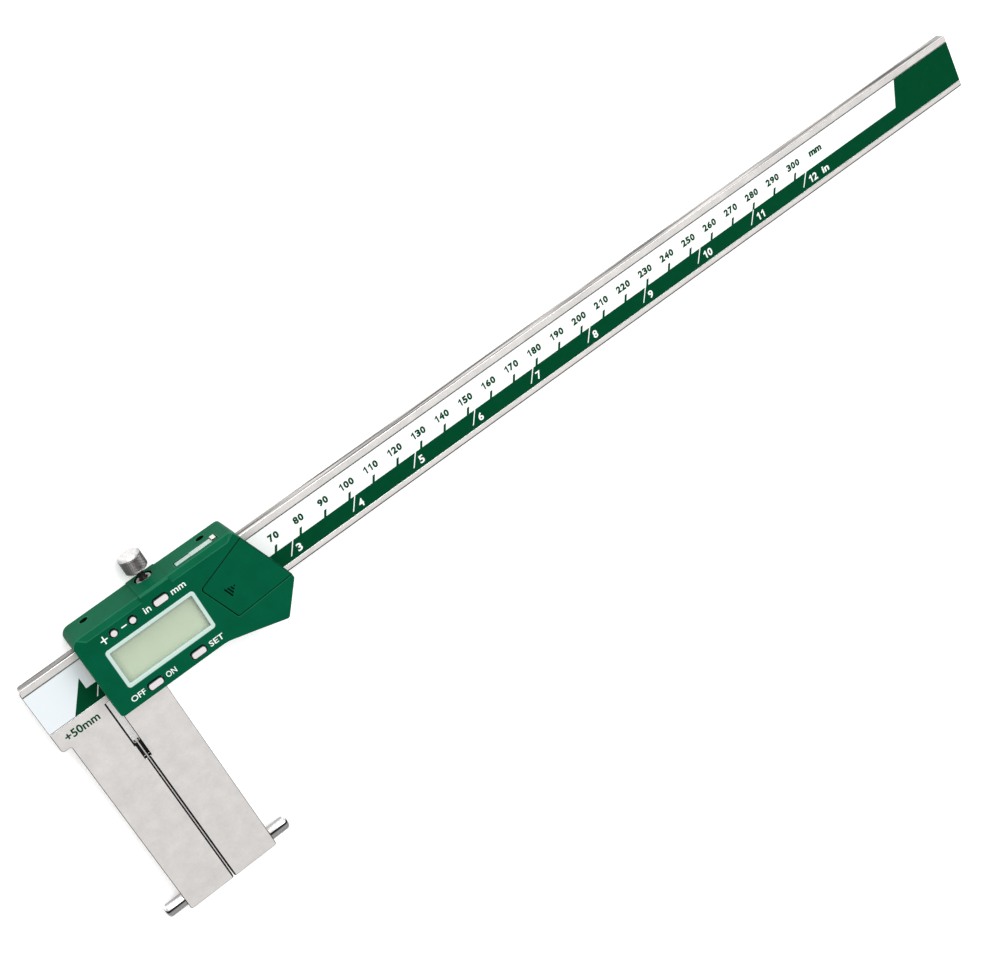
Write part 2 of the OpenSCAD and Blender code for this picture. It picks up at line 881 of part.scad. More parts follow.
module battery_contact_negative() {
    color("silver")
        placed()
            block([cell_at.x - pad_half, cell_at.y - leaf_half, board_top],
                [cell_at.x + pad_half, cell_at.y + leaf_half, cell_base]);
}

// Stepped contact strip on the floor of the port
module port_strip() {
    strip_t = 0.7;
    floor_y = housing_top - port_depth;
    left = port_mid.x - port_l / 2 + 0.4;
    step_x = left + 5.6;
    right = port_mid.x + port_l / 2 - 2.2;
    color("gainsboro")
        placed() {
            block([left, floor_y, port_mid.y - 1.5], [right, floor_y + strip_t, port_mid.y + 1.1]);
            block([step_x, floor_y, port_mid.y - 1.5], [right, floor_y + strip_t + 0.15, port_mid.y + 1.6]);
        }
}

module port_block() {
    floor_y = housing_top - port_depth;
    right = port_mid.x + port_l / 2 - 0.4;
    color("white")
        placed()
            block([right - 1.6, floor_y, port_mid.y - 1.5], [right, housing_top + 0.4, port_mid.y + 1.3]);
}

beam();
scale_board();
scale_label();
fixed_pin();
moving_pin();
slider_frame();
gib_strip();
gib_screws();
lock_pad();
lock_screw();
housing();
housing_screws();
lcd_bezel();
lcd_window();
lcd_panel();
zebra_upper();
zebra_lower();
circuit_board();
controller_chip();
key_mat_upper();
key_mat_lower();
button_plus();
button_minus();
button_in_mm();
button_on_off();
button_set();
battery_cover();
battery_holder();
coin_cell();
battery_contact_positive();
battery_contact_negative();
port_strip();
port_block();
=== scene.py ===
"""Inside point caliper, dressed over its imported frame: steel, printed scale, casing, display and studio."""
import json
import logging
import math
from contextlib import contextmanager
from dataclasses import dataclass
from enum import Enum
from functools import lru_cache
from typing import Any, Callable, Dict, Iterator, List, Optional, Sequence, Tuple, Union

import bmesh
import bpy
from bmesh.types import BMFace, BMesh
from bpy.types import ID, Material, Mesh, Node, NodeSocket, NodeTree, Object
from mathutils import Matrix, Vector
from mathutils.geometry import delaunay_2d_cdt

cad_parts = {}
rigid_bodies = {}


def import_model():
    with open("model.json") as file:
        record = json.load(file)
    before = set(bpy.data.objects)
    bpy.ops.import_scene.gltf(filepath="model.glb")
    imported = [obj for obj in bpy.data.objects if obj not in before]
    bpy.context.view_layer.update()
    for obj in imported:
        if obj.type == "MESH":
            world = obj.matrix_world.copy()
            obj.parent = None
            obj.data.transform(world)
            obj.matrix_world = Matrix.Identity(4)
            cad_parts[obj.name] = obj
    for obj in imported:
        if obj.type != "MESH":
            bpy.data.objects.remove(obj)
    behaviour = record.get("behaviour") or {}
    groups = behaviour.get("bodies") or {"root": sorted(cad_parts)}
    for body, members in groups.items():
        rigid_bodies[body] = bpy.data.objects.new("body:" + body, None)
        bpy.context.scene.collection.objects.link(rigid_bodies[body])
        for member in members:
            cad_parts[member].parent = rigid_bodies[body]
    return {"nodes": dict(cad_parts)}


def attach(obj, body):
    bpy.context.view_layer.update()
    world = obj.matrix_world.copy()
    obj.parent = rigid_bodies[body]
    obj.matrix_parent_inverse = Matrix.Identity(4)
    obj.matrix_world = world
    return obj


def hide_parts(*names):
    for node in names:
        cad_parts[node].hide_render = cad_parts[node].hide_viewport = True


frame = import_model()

log = logging.getLogger("caliper")

Colour = Tuple[float, float, float]
Place = Tuple[float, float, float]
Point = Tuple[float, float]
Box = Tuple[Point, Point, Point]
Value = Union[float, NodeSocket]
Tone = Union[Colour, NodeSocket]

MM = 0.001
DATUM = Vector((-177.35, 29.45, 6.0))
INCH = 25.4
SCREW_AXIS: Place = (30.2, 0.0, -2.0)
SCREW_WAY = Vector((0, 1, 0))
BEAM, SLIDER = "beam_body", "slider_body"


def spot(x: float, y: float, z: float) -> Vector:
    """Turn millimetres from the scale's zero mark and the beam's front into the frame's metres.

    Args:
        x: distance along the beam from the zero mark.
        y: distance across the beam.
        z: height above the beam's front.

    Returns:
        The same place in the frame.
    """
    return (Vector((x, y, z)) + DATUM) * MM


class Grain(Enum):
    """Direction in which a metal was ground, as the stretch of its noise along X, Y and Z."""

    ALONG_BEAM = (0.03, 1.0, 1.0)
    NONE = (1.0, 1.0, 1.0)


class NodeCalls:
    """Short calls that add nodes to a tree."""

    def __init__(self, tree: NodeTree) -> None:
        """Hold the tree's nodes and links."""
        self.nodes, self.links = tree.nodes, tree.links

    def add(self, kind: str, inputs: Optional[Dict[Any, Any]] = None, **settings: Any) -> Node:
        """Add a node.

        Args:
            kind: the node's type.
            inputs: value or source socket for each input, by name or index.
            settings: attributes of the node.

        Returns:
            The new node.
        """
        node = self.nodes.new(kind)
        for key, value in settings.items():
            setattr(node, key, value)
        for key, value in (inputs or {}).items():
            if isinstance(value, NodeSocket):
                self.links.new(value, node.inputs[key])
            else:
                node.inputs[key].default_value = value
        return node

    def math(self, operation: str, a: Value, b: Value = 0.0, c: Value = 0.0) -> NodeSocket:
        """Calculate with two or three values or sockets."""
        return self.add("ShaderNodeMath", {0: a, 1: b, 2: c}, operation=operation).outputs[0]

    def plus(self, a: Value, b: Value) -> NodeSocket:
        """Add two values or sockets."""
        return self.math("ADD", a, b)

    def times(self, a: Value, b: Value) -> NodeSocket:
        """Multiply two values or sockets."""
        return self.math("MULTIPLY", a, b)

    def split(self, vector: NodeSocket) -> Sequence[NodeSocket]:
        """Part a vector into its three values."""
        return self.add("ShaderNodeSeparateXYZ", {0: vector}).outputs


class Tree(NodeCalls):
    """One material, whose patterns read Object coordinates in millimetres."""

    def __init__(self, name: str) -> None:
        """Start a material that holds a shader and its object coordinates.

        Args:
            name: name of the material.
        """
        self.material = bpy.data.materials.new(name)
        self.material.use_nodes = True
        super().__init__(self.material.node_tree)
        self.shader = self.nodes["Principled BSDF"]
        self.coords = self.add("ShaderNodeTexCoord").outputs["Object"]

    def spread(self, stretch: Sequence[float] = (1, 1, 1), shift: Sequence[float] = (0, 0, 0)) -> NodeSocket:
        """Stretch and shift the object coordinates.

        Args:
            stretch: factor on each axis.
            shift: move along each axis in millimetres.

        Returns:
            The coordinates in millimetres.
        """
        return self.add("ShaderNodeMapping", {
            "Vector": self.coords, "Location": tuple(shift),
            "Scale": tuple(s / MM for s in stretch)}).outputs[0]

    def noise(self, scale: float, detail: float = 3, stretch: Sequence[float] = (1, 1, 1),
              rough: float = 0.55) -> NodeSocket:
        """Make noise.

        Args:
            scale: cycles in a millimetre.
            detail: octaves.
            stretch: factor on each axis, for grain and streaks.
            rough: strength of the finer octaves.

        Returns:
            The noise between 0 and 1.
        """
        return self.add("ShaderNodeTexNoise", {
            "Vector": self.spread(stretch), "Scale": scale, "Detail": detail, "Roughness": rough}).outputs[0]

    def cells(self, scale: float) -> NodeSocket:
        """Give the distance from scattered points, as many in a millimetre as the scale says."""
        return self.add("ShaderNodeTexVoronoi", {"Vector": self.spread(), "Scale": scale}).outputs[0]

    def remap(self, value: NodeSocket, low: float, high: float, to_low: float, to_high: float) -> NodeSocket:
        """Carry a value from one range to another, held at both ends."""
        return self.add("ShaderNodeMapRange", {
            0: value, 1: low, 2: high, 3: to_low, 4: to_high}, clamp=True).outputs[0]

    def sway(self, noise: NodeSocket, low: float, high: float) -> NodeSocket:
        """Carry the range in which a noise mostly lies to another one."""
        return self.remap(noise, 0.3, 0.7, low, high)

    def mix(self, share: Value, a: Tone, b: Tone, blend: str = "MIX") -> NodeSocket:
        """Mix two colours.

        Args:
            share: share of the second colour, from 0 to 1.
            a: first colour or socket.
            b: second colour or socket.
            blend: Blender's name for the way of mixing.

        Returns:
            The mixed colour.
        """
        a, b = (v if isinstance(v, NodeSocket) else (*v, 1.0) for v in (a, b))
        return self.add("ShaderNodeMix", {0: share, 6: a, 7: b}, data_type="RGBA",
                        blend_type=blend).outputs[2]

    def bump(self, height: NodeSocket, depth: float, strength: float = 1.0,
             under: Optional[NodeSocket] = None) -> NodeSocket:
        """Raise the surface.

        Args:
            height: socket between 0 and 1.
            depth: rise in millimetres at a height of 1.
            strength: share of the effect.
            under: normal of a bump below this one.

        Returns:
            The bumped normal.
        """
        inputs = {"Height": height, "Distance": depth * MM, "Strength": strength}
        if under is not None:
            inputs["Normal"] = under
        return self.add("ShaderNodeBump", inputs).outputs[0]

    def ramp(self, value: NodeSocket, stops: Sequence[Point]) -> NodeSocket:
        """Carry a value from -1 to 1 through grey stops.

        Args:
            value: socket from -1 to 1.
            stops: pairs of place and tone.

        Returns:
            The tone as a colour.
        """
        node = self.add("ShaderNodeValToRGB", {0: self.remap(value, -1, 1, 0, 1)})
        elements = node.color_ramp.elements
        while len(elements) < len(stops):
            elements.new(0.5)
        for element, (place, tone) in zip(elements, stops):
            element.position = (place + 1) / 2
            element.color = (tone, tone, tone, 1)
        return node.outputs[0]

    def facing(self, axis: int) -> NodeSocket:
        """Give how far the surface faces one axis, from -1 to 1."""
        return self.split(self.add("ShaderNodeNewGeometry").outputs["Normal"])[axis]

    def along(self, axis: int) -> NodeSocket:
        """Give the place along one axis in millimetres of the frame."""
        return self.split(self.spread())[axis]

    def apart(self, x: float, y: float, z: float) -> Sequence[NodeSocket]:
        """Give the three distances from a datum place, in millimetres."""
        return self.split(self.spread(shift=-(Vector((x, y, z)) + DATUM)))

    def inside(self, box: Box) -> NodeSocket:
        """Tell where the surface lies in a box.

        Args:
            box: low and high end on each axis, in datum millimetres.

        Returns:
            One inside the box and nought outside it.
        """
        share = None
        for axis, (low, high) in enumerate(box):
            middle, half = (low + high) / 2 + DATUM[axis], (high - low) / 2
            here = self.math("COMPARE", self.along(axis), middle, half)
            share = here if share is None else self.times(share, here)
        return share

    def close(self, colour: Tone, roughness: Value, normal: Optional[NodeSocket] = None,
              **fixed: float) -> Material:
        """Join the shader's inputs.

        Args:
            colour: colour or socket.
            roughness: value or socket.
            normal: bumped normal.
            fixed: constant inputs of the shader, by name with underscores for spaces.

        Returns:
            The finished material.
        """
        for name, value in (("Base Color", colour), ("Roughness", roughness), ("Normal", normal)):
            if isinstance(value, NodeSocket):
                self.links.new(value, self.shader.inputs[name])
            elif value is not None:
                self.shader.inputs[name].default_value = (*value, 1.0) if isinstance(value, tuple) else value
        for name, value in fixed.items():
            self.shader.inputs[name.replace("_", " ")].default_value = value
        return self.material


@dataclass(frozen=True)
class Surface:
    """Something that has a procedural material."""

    name: str

    def material(self) -> Material:
        """Build the surface's material."""
        raise NotImplementedError


@dataclass(frozen=True)
class Finish(Surface):
    """Surface of a piece, with the slot it fills and its main colour."""

    slot: str
    colour: Colour

    def tint(self, factor: float) -> Colour:
        """Give the main colour made darker or lighter by a factor."""
        return tuple(c * factor for c in self.colour)


@dataclass(frozen=True)
class GroundSteel(Finish):
    """Flat-ground metal: fine grain, cloudy mottling, painted shade with streaks on the faces turned to +Y, a
    painted shadow line and boxes of painted shade.
    """

    roughness: float = 0.4
    grain: Grain = Grain.NONE
    cloud: float = 0.06
    # share of the colour kept on faces turned to +Y: painted shade
    side: float = 1.0
    depth: float = 0.002
    # painted shadow line along the beam's lower edge: start along the beam, lower edge and width, in datum
    # millimetres
    line: Optional[Tuple[float, float, float]] = None
    # boxes in datum millimetres where painted shade makes the steel near-black
    shades: Tuple[Box, ...] = ()

    def material(self) -> Material:
        """Build the metal's material.

        Returns:
            The material.
        """
        tree = Tree(self.name)
        fine = tree.noise(3.2, 4, self.grain.value)
        broad = tree.noise(0.16, 5, rough=0.65)
        specks = tree.noise(1.1, 6, rough=0.7)
        tone = tree.plus(tree.sway(fine, -0.03, 0.03), tree.sway(broad, 1 - self.cloud, 1 + self.cloud * 0.5))
        tone = tree.plus(tone, tree.remap(specks, 0.35, 0.65, -0.025, 0.025))
        # painted shade on faces turned to +Y, broken by streaks of painted reflection along the beam
        side = tree.remap(tree.facing(1), 0.5, 0.95, 1, self.side)
        streaks = tree.remap(tree.noise(0.9, 3, Grain.ALONG_BEAM.value), 0.35, 0.65, -0.6, 0.6)
        side = tree.plus(side, tree.times(tree.math("SUBTRACT", 1, side), streaks))
        tone = tree.times(tone, side)
        grey = tree.add("ShaderNodeCombineColor", {0: tone, 1: tone, 2: tone}).outputs[0]
        colour = tree.mix(1.0, self.colour, grey, "MULTIPLY")
        # painted shadow: a near-black line along the beam's lower edge
        if self.line:
            colour = tree.mix(self._line_share(tree), colour, (0.03, 0.027, 0.027))
        # painted shade: near-black inside each box, where shadow falls between the jaws and at the slot's
        # edge
        for box in self.shades:
            colour = tree.mix(tree.inside(box), colour, (0.02, 0.019, 0.019))
        rough = tree.plus(tree.sway(broad, self.roughness - 0.05, self.roughness + 0.06),
                          tree.sway(fine, -0.04, 0.05))
        return tree.close(colour, rough, tree.bump(fine, self.depth), Metallic=1.0)

    def _line_share(self, tree: Tree) -> NodeSocket:
        """Tell where the painted shadow line lies, which runs along the beam's lower edge from its start.

        Args:
            tree: the metal's tree.

        Returns:
            The painted shadow line's share of the colour.
        """
        x, y, width = self.line
        across = tree.along(1)
        low = y + DATUM.y
        band = tree.times(tree.remap(across, low + width * 0.6, low + width, 0.95, 0),
                          tree.math("GREATER_THAN", across, low - 0.3))
        return tree.times(tree.math("GREATER_THAN", tree.along(0), x + DATUM.x), band)


@dataclass(frozen=True)
class ArrisSteel(Finish):
    """Broken edge of ground metal: a painted highlight where it faces the scale's upper side, painted shade
    elsewhere, lightened where worn.
    """

    bright: Colour
    roughness: float = 0.35

    def material(self) -> Material:
        """Build the edge's material.

        Returns:
            The material.
        """
        tree = Tree(self.name)
        worn = tree.noise(0.5, 4)
        # painted highlight on edges turned to +Y; painted shade on the rest, with real wear lightening it in
        # spots
        share = tree.remap(tree.facing(1), 0.3, 0.6, 0, 1)
        dark = tree.mix(tree.remap(worn, 0.55, 0.8, 0, 0.25), self.colour, self.tint(4))
        rough = tree.sway(worn, self.roughness - 0.05, self.roughness + 0.08)
        return tree.close(tree.mix(share, dark, self.bright), rough, tree.bump(worn, 0.001), Metallic=1.0)


@dataclass(frozen=True)
class TurnedSteel(Finish):
    """Metal turned on a lathe: fine rings round an axis, grime, and painted bands of reflected light and
    shade across it.
    """

    centre: Place
    axis: int
    roughness: float = 0.22
    rings: float = 5.0
    grime: float = 0.12
    # tones by how the surface faces along `across`: painted reflection and painted shade
    bands: Tuple[Point, ...] = ((-1.0, 1.0), (1.0, 1.0))
    across: int = 1

    def material(self) -> Material:
        """Build the metal's material.

        Returns:
            The material.
        """
        tree = Tree(self.name)
        parts = tree.apart(*self.centre)
        a, b = (parts[i] for i in range(3) if i != self.axis)
        radius = tree.math("SQRT", tree.plus(tree.times(a, a), tree.times(b, b)))
        turned = tree.times(tree.plus(radius, parts[self.axis]), self.rings)
        wander = tree.noise(0.8, 3)
        ring = tree.math("SINE", tree.plus(tree.times(turned, 2 * math.pi), wander))
        ring = tree.remap(ring, -1, 1, 0, 1)
        fine = tree.noise(7, 3)
        colour = tree.mix(tree.remap(ring, 0, 1, 0.0, 0.2), self.colour, self.tint(0.62))
        colour = tree.mix(tree.remap(wander, 0.4, 0.75, 0, self.grime), colour, self.tint(0.45))
        # painted reflection and painted shade: bands of tone by the way the surface faces
        colour = tree.mix(1.0, colour, tree.ramp(tree.facing(self.across), self.bands), "MULTIPLY")
        rough = tree.plus(tree.sway(wander, self.roughness - 0.04, self.roughness + 0.1),
                          tree.sway(fine, -0.03, 0.04))
        normal = tree.bump(fine, 0.0005, under=tree.bump(ring, 0.0006))
        return tree.close(colour, rough, normal, Metallic=1.0)


@dataclass(frozen=True)
class MouldedPlastic(Finish):
    """Injection-moulded plastic: spark-eroded grain, faint flow clouds, and painted shade in round holes and
    in boxes.
    """

    light: Colour
    roughness: float = 0.45
    grain: float = 3.0
    depth: float = 0.006
    gloss: float = 0.3
    rubbed: float = 0.0
    # round holes as place along the beam and radius, filled with painted shade
    pits: Tuple[Point, ...] = ()
    # boxes in datum millimetres filled with painted shade
    shades: Tuple[Box, ...] = ()

    def material(self) -> Material:
        """Build the plastic's material.

        Returns:
            The material.
        """
        tree = Tree(self.name)
        # near-black colour of the painted shade
        dark = (0.0, 0.006, 0.003)
        grain = tree.noise(self.grain, 3)
        cells = tree.cells(self.grain * 0.9)
        flow = tree.noise(0.12, 4, rough=0.6)
        colour = tree.mix(tree.sway(flow, 0, 0.18), self.colour, self.light)
        colour = tree.mix(tree.remap(grain, 0.35, 0.7, self.rubbed, self.rubbed + 0.12), colour, self.light)
        # painted shade: round holes that run across the beam at the lock screw's height are made near-black
        for x, radius in self.pits:
            parts = tree.apart(x, 0, SCREW_AXIS[2])
            span = tree.plus(tree.times(parts[0], parts[0]), tree.times(parts[2], parts[2]))
            colour = tree.mix(tree.math("LESS_THAN", span, (radius + 0.03) ** 2), colour, dark)
        # painted shade: near-black inside each box
        for box in self.shades:
            colour = tree.mix(tree.inside(box), colour, dark)
        rough = tree.sway(grain, self.roughness - 0.04, self.roughness + 0.07)
        height = tree.plus(tree.times(grain, 0.7), tree.times(cells, 0.4))
        return tree.close(colour, rough, tree.bump(height, self.depth), Specular_IOR_Level=self.gloss)


@dataclass(frozen=True)
class PrintedFilm(Finish):
    """White polyester film on the beam: a cool grey field at the head, faint fibres and a satin coat."""

    field_colour: Colour
    field_end: float

    def material(self) -> Material:
        """Build the film's material.

        Returns:
            The material.
        """
        tree = Tree(self.name)
        end = self.field_end + DATUM.x
        share = tree.remap(tree.along(0), end - 1.5, end + 1.5, 1, 0)
        fibres = tree.noise(2.5, 4, (0.15, 1, 1))
        specks = tree.noise(0.5, 5, rough=0.7)
        colour = tree.mix(share, self.colour, self.field_colour)
        colour = tree.mix(tree.remap(specks, 0.4, 0.8, 0, 0.1), colour, self.tint(0.88))
        return tree.close(colour, tree.sway(fibres, 0.32, 0.45), tree.bump(fibres, 0.002),
                          Specular_IOR_Level=0.35)


@dataclass(frozen=True)
class PrintInk(Finish):
    """Matt screen-printed ink: slightly uneven cover with pinholes."""

    thin: Colour
    roughness: float = 0.4

    def material(self) -> Material:
        """Build the ink's material.

        Returns:
            The material.
        """
        tree = Tree(self.name)
        cover = tree.noise(0.35, 5, rough=0.7)
        screen = tree.noise(6, 2)
        colour = tree.mix(tree.remap(cover, 0.42, 0.75, 0, 0.22), self.colour, self.thin)
        colour = tree.mix(tree.remap(screen, 0.62, 0.7, 0, 0.12), colour, self.thin)
        rough = tree.sway(screen, self.roughness - 0.05, self.roughness + 0.08)
        return tree.close(colour, rough, tree.bump(screen, 0.0015), Specular_IOR_Level=0.02)


@dataclass(frozen=True)
class DisplayCell(Finish):
    """Switched-off liquid-crystal cell: grey-green, with the frame's shadow painted darker towards its upper
    and left edges and a slight painted shade towards the top.
    """

    # colour of the painted shadow, also of the cell's mottling and dots
    shade: Colour
    middle: Point
    half: Point

    def material(self) -> Material:
        """Build the cell's material.

        Returns:
            The material.
        """
        tree = Tree(self.name)
        parts = tree.apart(*self.middle, 0)
        # painted shadow of the frame along the left and upper edges, with a slight painted shade growing
        # towards the top
        left = tree.remap(parts[0], -self.half[0], -self.half[0] + 2.2, 0.5, 0)
        top = tree.remap(parts[1], self.half[1] - 2.0, self.half[1], 0, 0.8)
        slope = tree.remap(parts[1], -self.half[1], self.half[1], 0, 0.12)
        share = tree.math("MINIMUM", tree.plus(tree.math("MAXIMUM", left, top), slope), 1.0)
        film = tree.noise(0.25, 4)
        dots = tree.noise(5, 2)
        colour = tree.mix(share, self.colour, self.shade)
        colour = tree.mix(tree.remap(film, 0.35, 0.7, 0, 0.08), colour, self.shade)
        colour = tree.mix(tree.remap(dots, 0.45, 0.7, 0, 0.06), colour, self.shade)
        return tree.close(colour, tree.sway(film, 0.36, 0.46), tree.bump(dots, 0.001),
                          Specular_IOR_Level=0.3)


@dataclass(frozen=True)
class ClearPane(Finish):
    """Clear acrylic pane with faint wiping marks, thin enough to be drawn by its gloss."""

    def material(self) -> Material:
        """Build the pane's material.

        Returns:
            The material.
        """
        tree = Tree(self.name)
        wipes = tree.noise(0.35, 4, (0.3, 1, 1))
        colour = tree.mix(tree.sway(wipes, 0, 0.2), self.colour, (1, 1, 1))
        return tree.close(colour, tree.sway(wipes, 0.04, 0.12), tree.bump(wipes, 0.0005), Alpha=0.08)


@dataclass(frozen=True)
class CircuitMask(Finish):
    """Green solder mask with raised traces under it and tinned pads."""

    trace: Colour

    def material(self) -> Material:
        """Build the board's material.

        Returns:
            The material.
        """
        tree = Tree(self.name)
        grid = tree.add("ShaderNodeTexBrick", {
            "Vector": tree.spread(), "Scale": 0.35, "Mortar Size": 0.025, "Brick Width": 1.1,
            "Row Height": 0.35}, offset=0.37).outputs["Fac"]
        pads = tree.cells(0.45)
        colour = tree.mix(grid, self.colour, self.trace)
        colour = tree.mix(tree.times(tree.remap(pads, 0.12, 0.16, 1, 0), 0.8), colour, (0.62, 0.6, 0.52))
        weave = tree.noise(4, 2, (1, 0.3, 1))
        height = tree.plus(grid, tree.times(weave, 0.2))
        return tree.close(colour, tree.sway(weave, 0.26, 0.4), tree.bump(height, 0.02))


@dataclass(frozen=True)
class Rubbery(Finish):
    """Rubber or silicone with a dull skin, flow clouds and, where stated, fine banding."""

    light: Colour
    banding: float = 0.0

    def material(self) -> Material:
        """Build the rubber's material.

        Returns:
            The material.
        """
        tree = Tree(self.name)
        skin = tree.noise(2.2, 4)
        colour = tree.mix(tree.sway(tree.noise(0.2, 3), 0, 0.3), self.colour, self.light)
        if self.banding:
            bands = tree.math("SINE", tree.times(tree.along(0), self.banding))
            colour = tree.mix(tree.remap(bands, -0.2, 0.2, 0, 0.7), colour, self.light)
        return tree.close(colour, tree.sway(skin, 0.55, 0.72), tree.bump(skin, 0.01),
                          Specular_IOR_Level=0.3)


@dataclass(frozen=True)
class PaleSweep(Surface):
    """Pale matt studio sweep with a barely visible paper texture."""

    colour: Colour

    def material(self) -> Material:
        """Build the floor's material.

        Returns:
            The material.
        """
        tree = Tree(self.name)
        paper = tree.noise(0.4, 4)
        colour = tree.mix(tree.sway(paper, 0, 0.02), self.colour, (0.8, 0.8, 0.8))
        return tree.close(colour, 0.75, tree.bump(paper, 0.01), Specular_IOR_Level=0.1, Emission_Strength=0.3)


# beam and slider steel: painted shade on the +Y faces, a painted shadow line along the beam's lower edge, and
# painted shade in the jaws' seam and at the slot's left edge
BEAM_STEEL = GroundSteel("ground_beam_steel", "beam_steel", (0.84, 0.81, 0.785), 0.42, Grain.NONE, 0.07, 0.4,
                         line=(0.5, -7.4, 0.6),
                         shades=(((-1.86, 0.46), (-90.0, -25.95), (-5.0, -0.12)),
                                 ((-2.45, -1.8), (-26.0, -7.4), (-4.5, 0.1))))
# rounded steel edges: painted shade with a painted highlight where they face +Y
STEEL_EDGE = ArrisSteel("steel_edges_painted_light", "beam_steel", (0.02, 0.019, 0.019), (0.95, 0.94, 0.93))
# knob: painted bands of reflection and shade across its side, by how it faces along X
KNOB_STEEL = TurnedSteel("turned_knob_steel", "knob_steel", (0.66, 0.65, 0.64), SCREW_AXIS, 1, 0.26, 2.6,
                         0.1, ((-1.0, 0.12), (-0.8, 0.3), (-0.35, 1.0), (0.4, 1.0), (0.75, 0.35),
                               (1.0, 0.06)), 0)
# painted shade: the knurl has a much darker copy of the knob's steel
KNURL_STEEL = GroundSteel("knurled_knob_steel", "knob_steel", (0.19, 0.182, 0.178), 0.34, Grain.NONE, 0.3,
                          depth=0.004)
# painted shade: the seat in its recess has a darker copy of the beam's steel
SEAT_STEEL = GroundSteel("turned_seat_steel", "beam_steel", (0.45, 0.43, 0.42), 0.38, Grain.NONE, 0.1)
NECK_STEEL = GroundSteel("dark_neck_steel", "knob_steel", (0.12, 0.1, 0.1), 0.35, Grain.NONE, 0.2)
# pins: painted bands of reflection and shade, by how they face along Y
PIN_STEEL = TurnedSteel("turned_pin_steel", "pin_steel", (0.85, 0.83, 0.82), (0.0, -84.5, -2.1), 0, 0.24, 1.7,
                        0.08, ((-1.0, 0.1), (-0.75, 0.3), (-0.2, 0.55), (0.12, 0.42), (0.2, 0.03),
                               (0.42, 0.03), (0.5, 1.15), (0.9, 1.0), (1.0, 0.4)), 1)
DARK_STEEL = GroundSteel("blackened_screw_steel", "dark_steel", (0.1, 0.1, 0.105), 0.42, Grain.NONE, 0.25)
GIB_BRASS = GroundSteel("drawn_brass", "brass", (0.72, 0.52, 0.24), 0.34, Grain.ALONG_BEAM, 0.12)
CELL_STEEL = GroundSteel("drawn_cell_steel", "cell_steel", (0.72, 0.72, 0.71), 0.28, Grain.NONE, 0.05)
PORT_STEEL = GroundSteel("pale_port_strip", "contact_metal", (0.46, 0.54, 0.51), 0.5, Grain.ALONG_BEAM, 0.1)
CONTACT = GroundSteel("plated_contact", "contact_metal", (0.7, 0.68, 0.62), 0.3, Grain.ALONG_BEAM, 0.1)
# casing and cover: painted shade in the two small screw holes, the lock screw's recess and the sunk arrow
GREEN_CASE = MouldedPlastic("green_casing", "green_plastic", (0.0, 0.071, 0.031), (0.001, 0.15, 0.07),
                            0.46, 2.6, 0.005, 0.03, 0.0, ((7.5, 1.5), (51.9, 1.5), (SCREW_AXIS[0], 3.2)),
                            (((46.5, 53.5), (-0.5, 7.5), (9.2, 9.62)),))
GREEN_EDGE = MouldedPlastic("rubbed_green_edges", "green_plastic", (0.0, 0.071, 0.031), (0.006, 0.2, 0.1),
                            0.4, 2.6, 0.003, 0.12, 0.16)
# painted shade: the cover's rounded edges are near-black green, for the shadow in the gap round it
COVER_EDGE = MouldedPlastic("cover_edges_painted_shade", "green_plastic", (0.0, 0.022, 0.01), (0.0, 0.045, 0.022),
                            0.5, 2.6, 0.003, 0.03)
PALE_FRAME = MouldedPlastic("pale_display_frame", "pale_plastic", (0.47, 0.615, 0.565), (0.62, 0.75, 0.71),
                            0.36, 2.0, 0.003, 0.35)
# button caps: painted shade on their side walls, below the rounding of the top
BUTTON_CAP = MouldedPlastic("pale_button_caps", "button_plastic", (0.64, 0.6, 0.612), (0.78, 0.74, 0.75),
                            0.4, 2.4, 0.004, 0.3, shades=(((-40.0, 60.0), (-20.0, 20.0), (8.0, 9.96)),))
# painted shade: the caps' rounded edges are near-black
BUTTON_EDGE = MouldedPlastic("button_edges_painted_shade", "button_plastic", (0.02, 0.035, 0.03),
                             (0.05, 0.07, 0.062), 0.45, 2.4, 0.003, 0.2)
BLACK_CASE = MouldedPlastic("black_inner_plastic", "black_plastic", (0.012, 0.012, 0.013),
                            (0.05, 0.05, 0.052), 0.5, 2.4, 0.006, 0.3)
FILM = PrintedFilm("scale_film", "printed_film", (0.9, 0.905, 0.905), (0.72, 0.765, 0.79), -2.0)
GREEN_INK = PrintInk("green_scale_ink", "printed_film", (0.0, 0.05, 0.0175), (0.002, 0.08, 0.034), 0.5)
WHITE_INK = PrintInk("white_scale_ink", "printed_film", (0.86, 0.87, 0.86), (0.7, 0.75, 0.72))
CASE_INK = PrintInk("white_casing_ink", "button_plastic", (0.83, 0.86, 0.84), (0.6, 0.7, 0.65))
# painted shadow of the groove round the film, laid as dark lines on the film's edges
GROOVE_SHADOW_PAINT = PrintInk("painted_groove_shadow", "green_plastic", (0.0004, 0.016, 0.008), (0.001, 0.03, 0.014), 0.55)
# display cell: painted shadow of the frame on its upper and left edges
CELL_GLASS = DisplayCell("display_cell_face", "display_cell", (0.425, 0.515, 0.35), (0.2, 0.25, 0.17),
                         (23.1, 4.0), (15.4, 6.3))
PANE = ClearPane("clear_acrylic_pane", "clear_pane", (0.92, 0.96, 0.94))
BOARD = CircuitMask("green_circuit_mask", "board_green", (0.008, 0.11, 0.04), (0.03, 0.24, 0.1))
ZEBRA = Rubbery("banded_contact_rubber", "grey_rubber", (0.03, 0.03, 0.032), (0.3, 0.3, 0.3), 30.0)
SILICONE = Rubbery("pale_key_silicone", "pale_silicone", (0.58, 0.58, 0.56), (0.75, 0.75, 0.73))
SWEEP = PaleSweep("pale_studio_sweep", (0.9, 0.9, 0.9))


@lru_cache(maxsize=None)
def material_of(finish: Surface) -> Material:
    """Give the one material of a finish."""
    return finish.material()


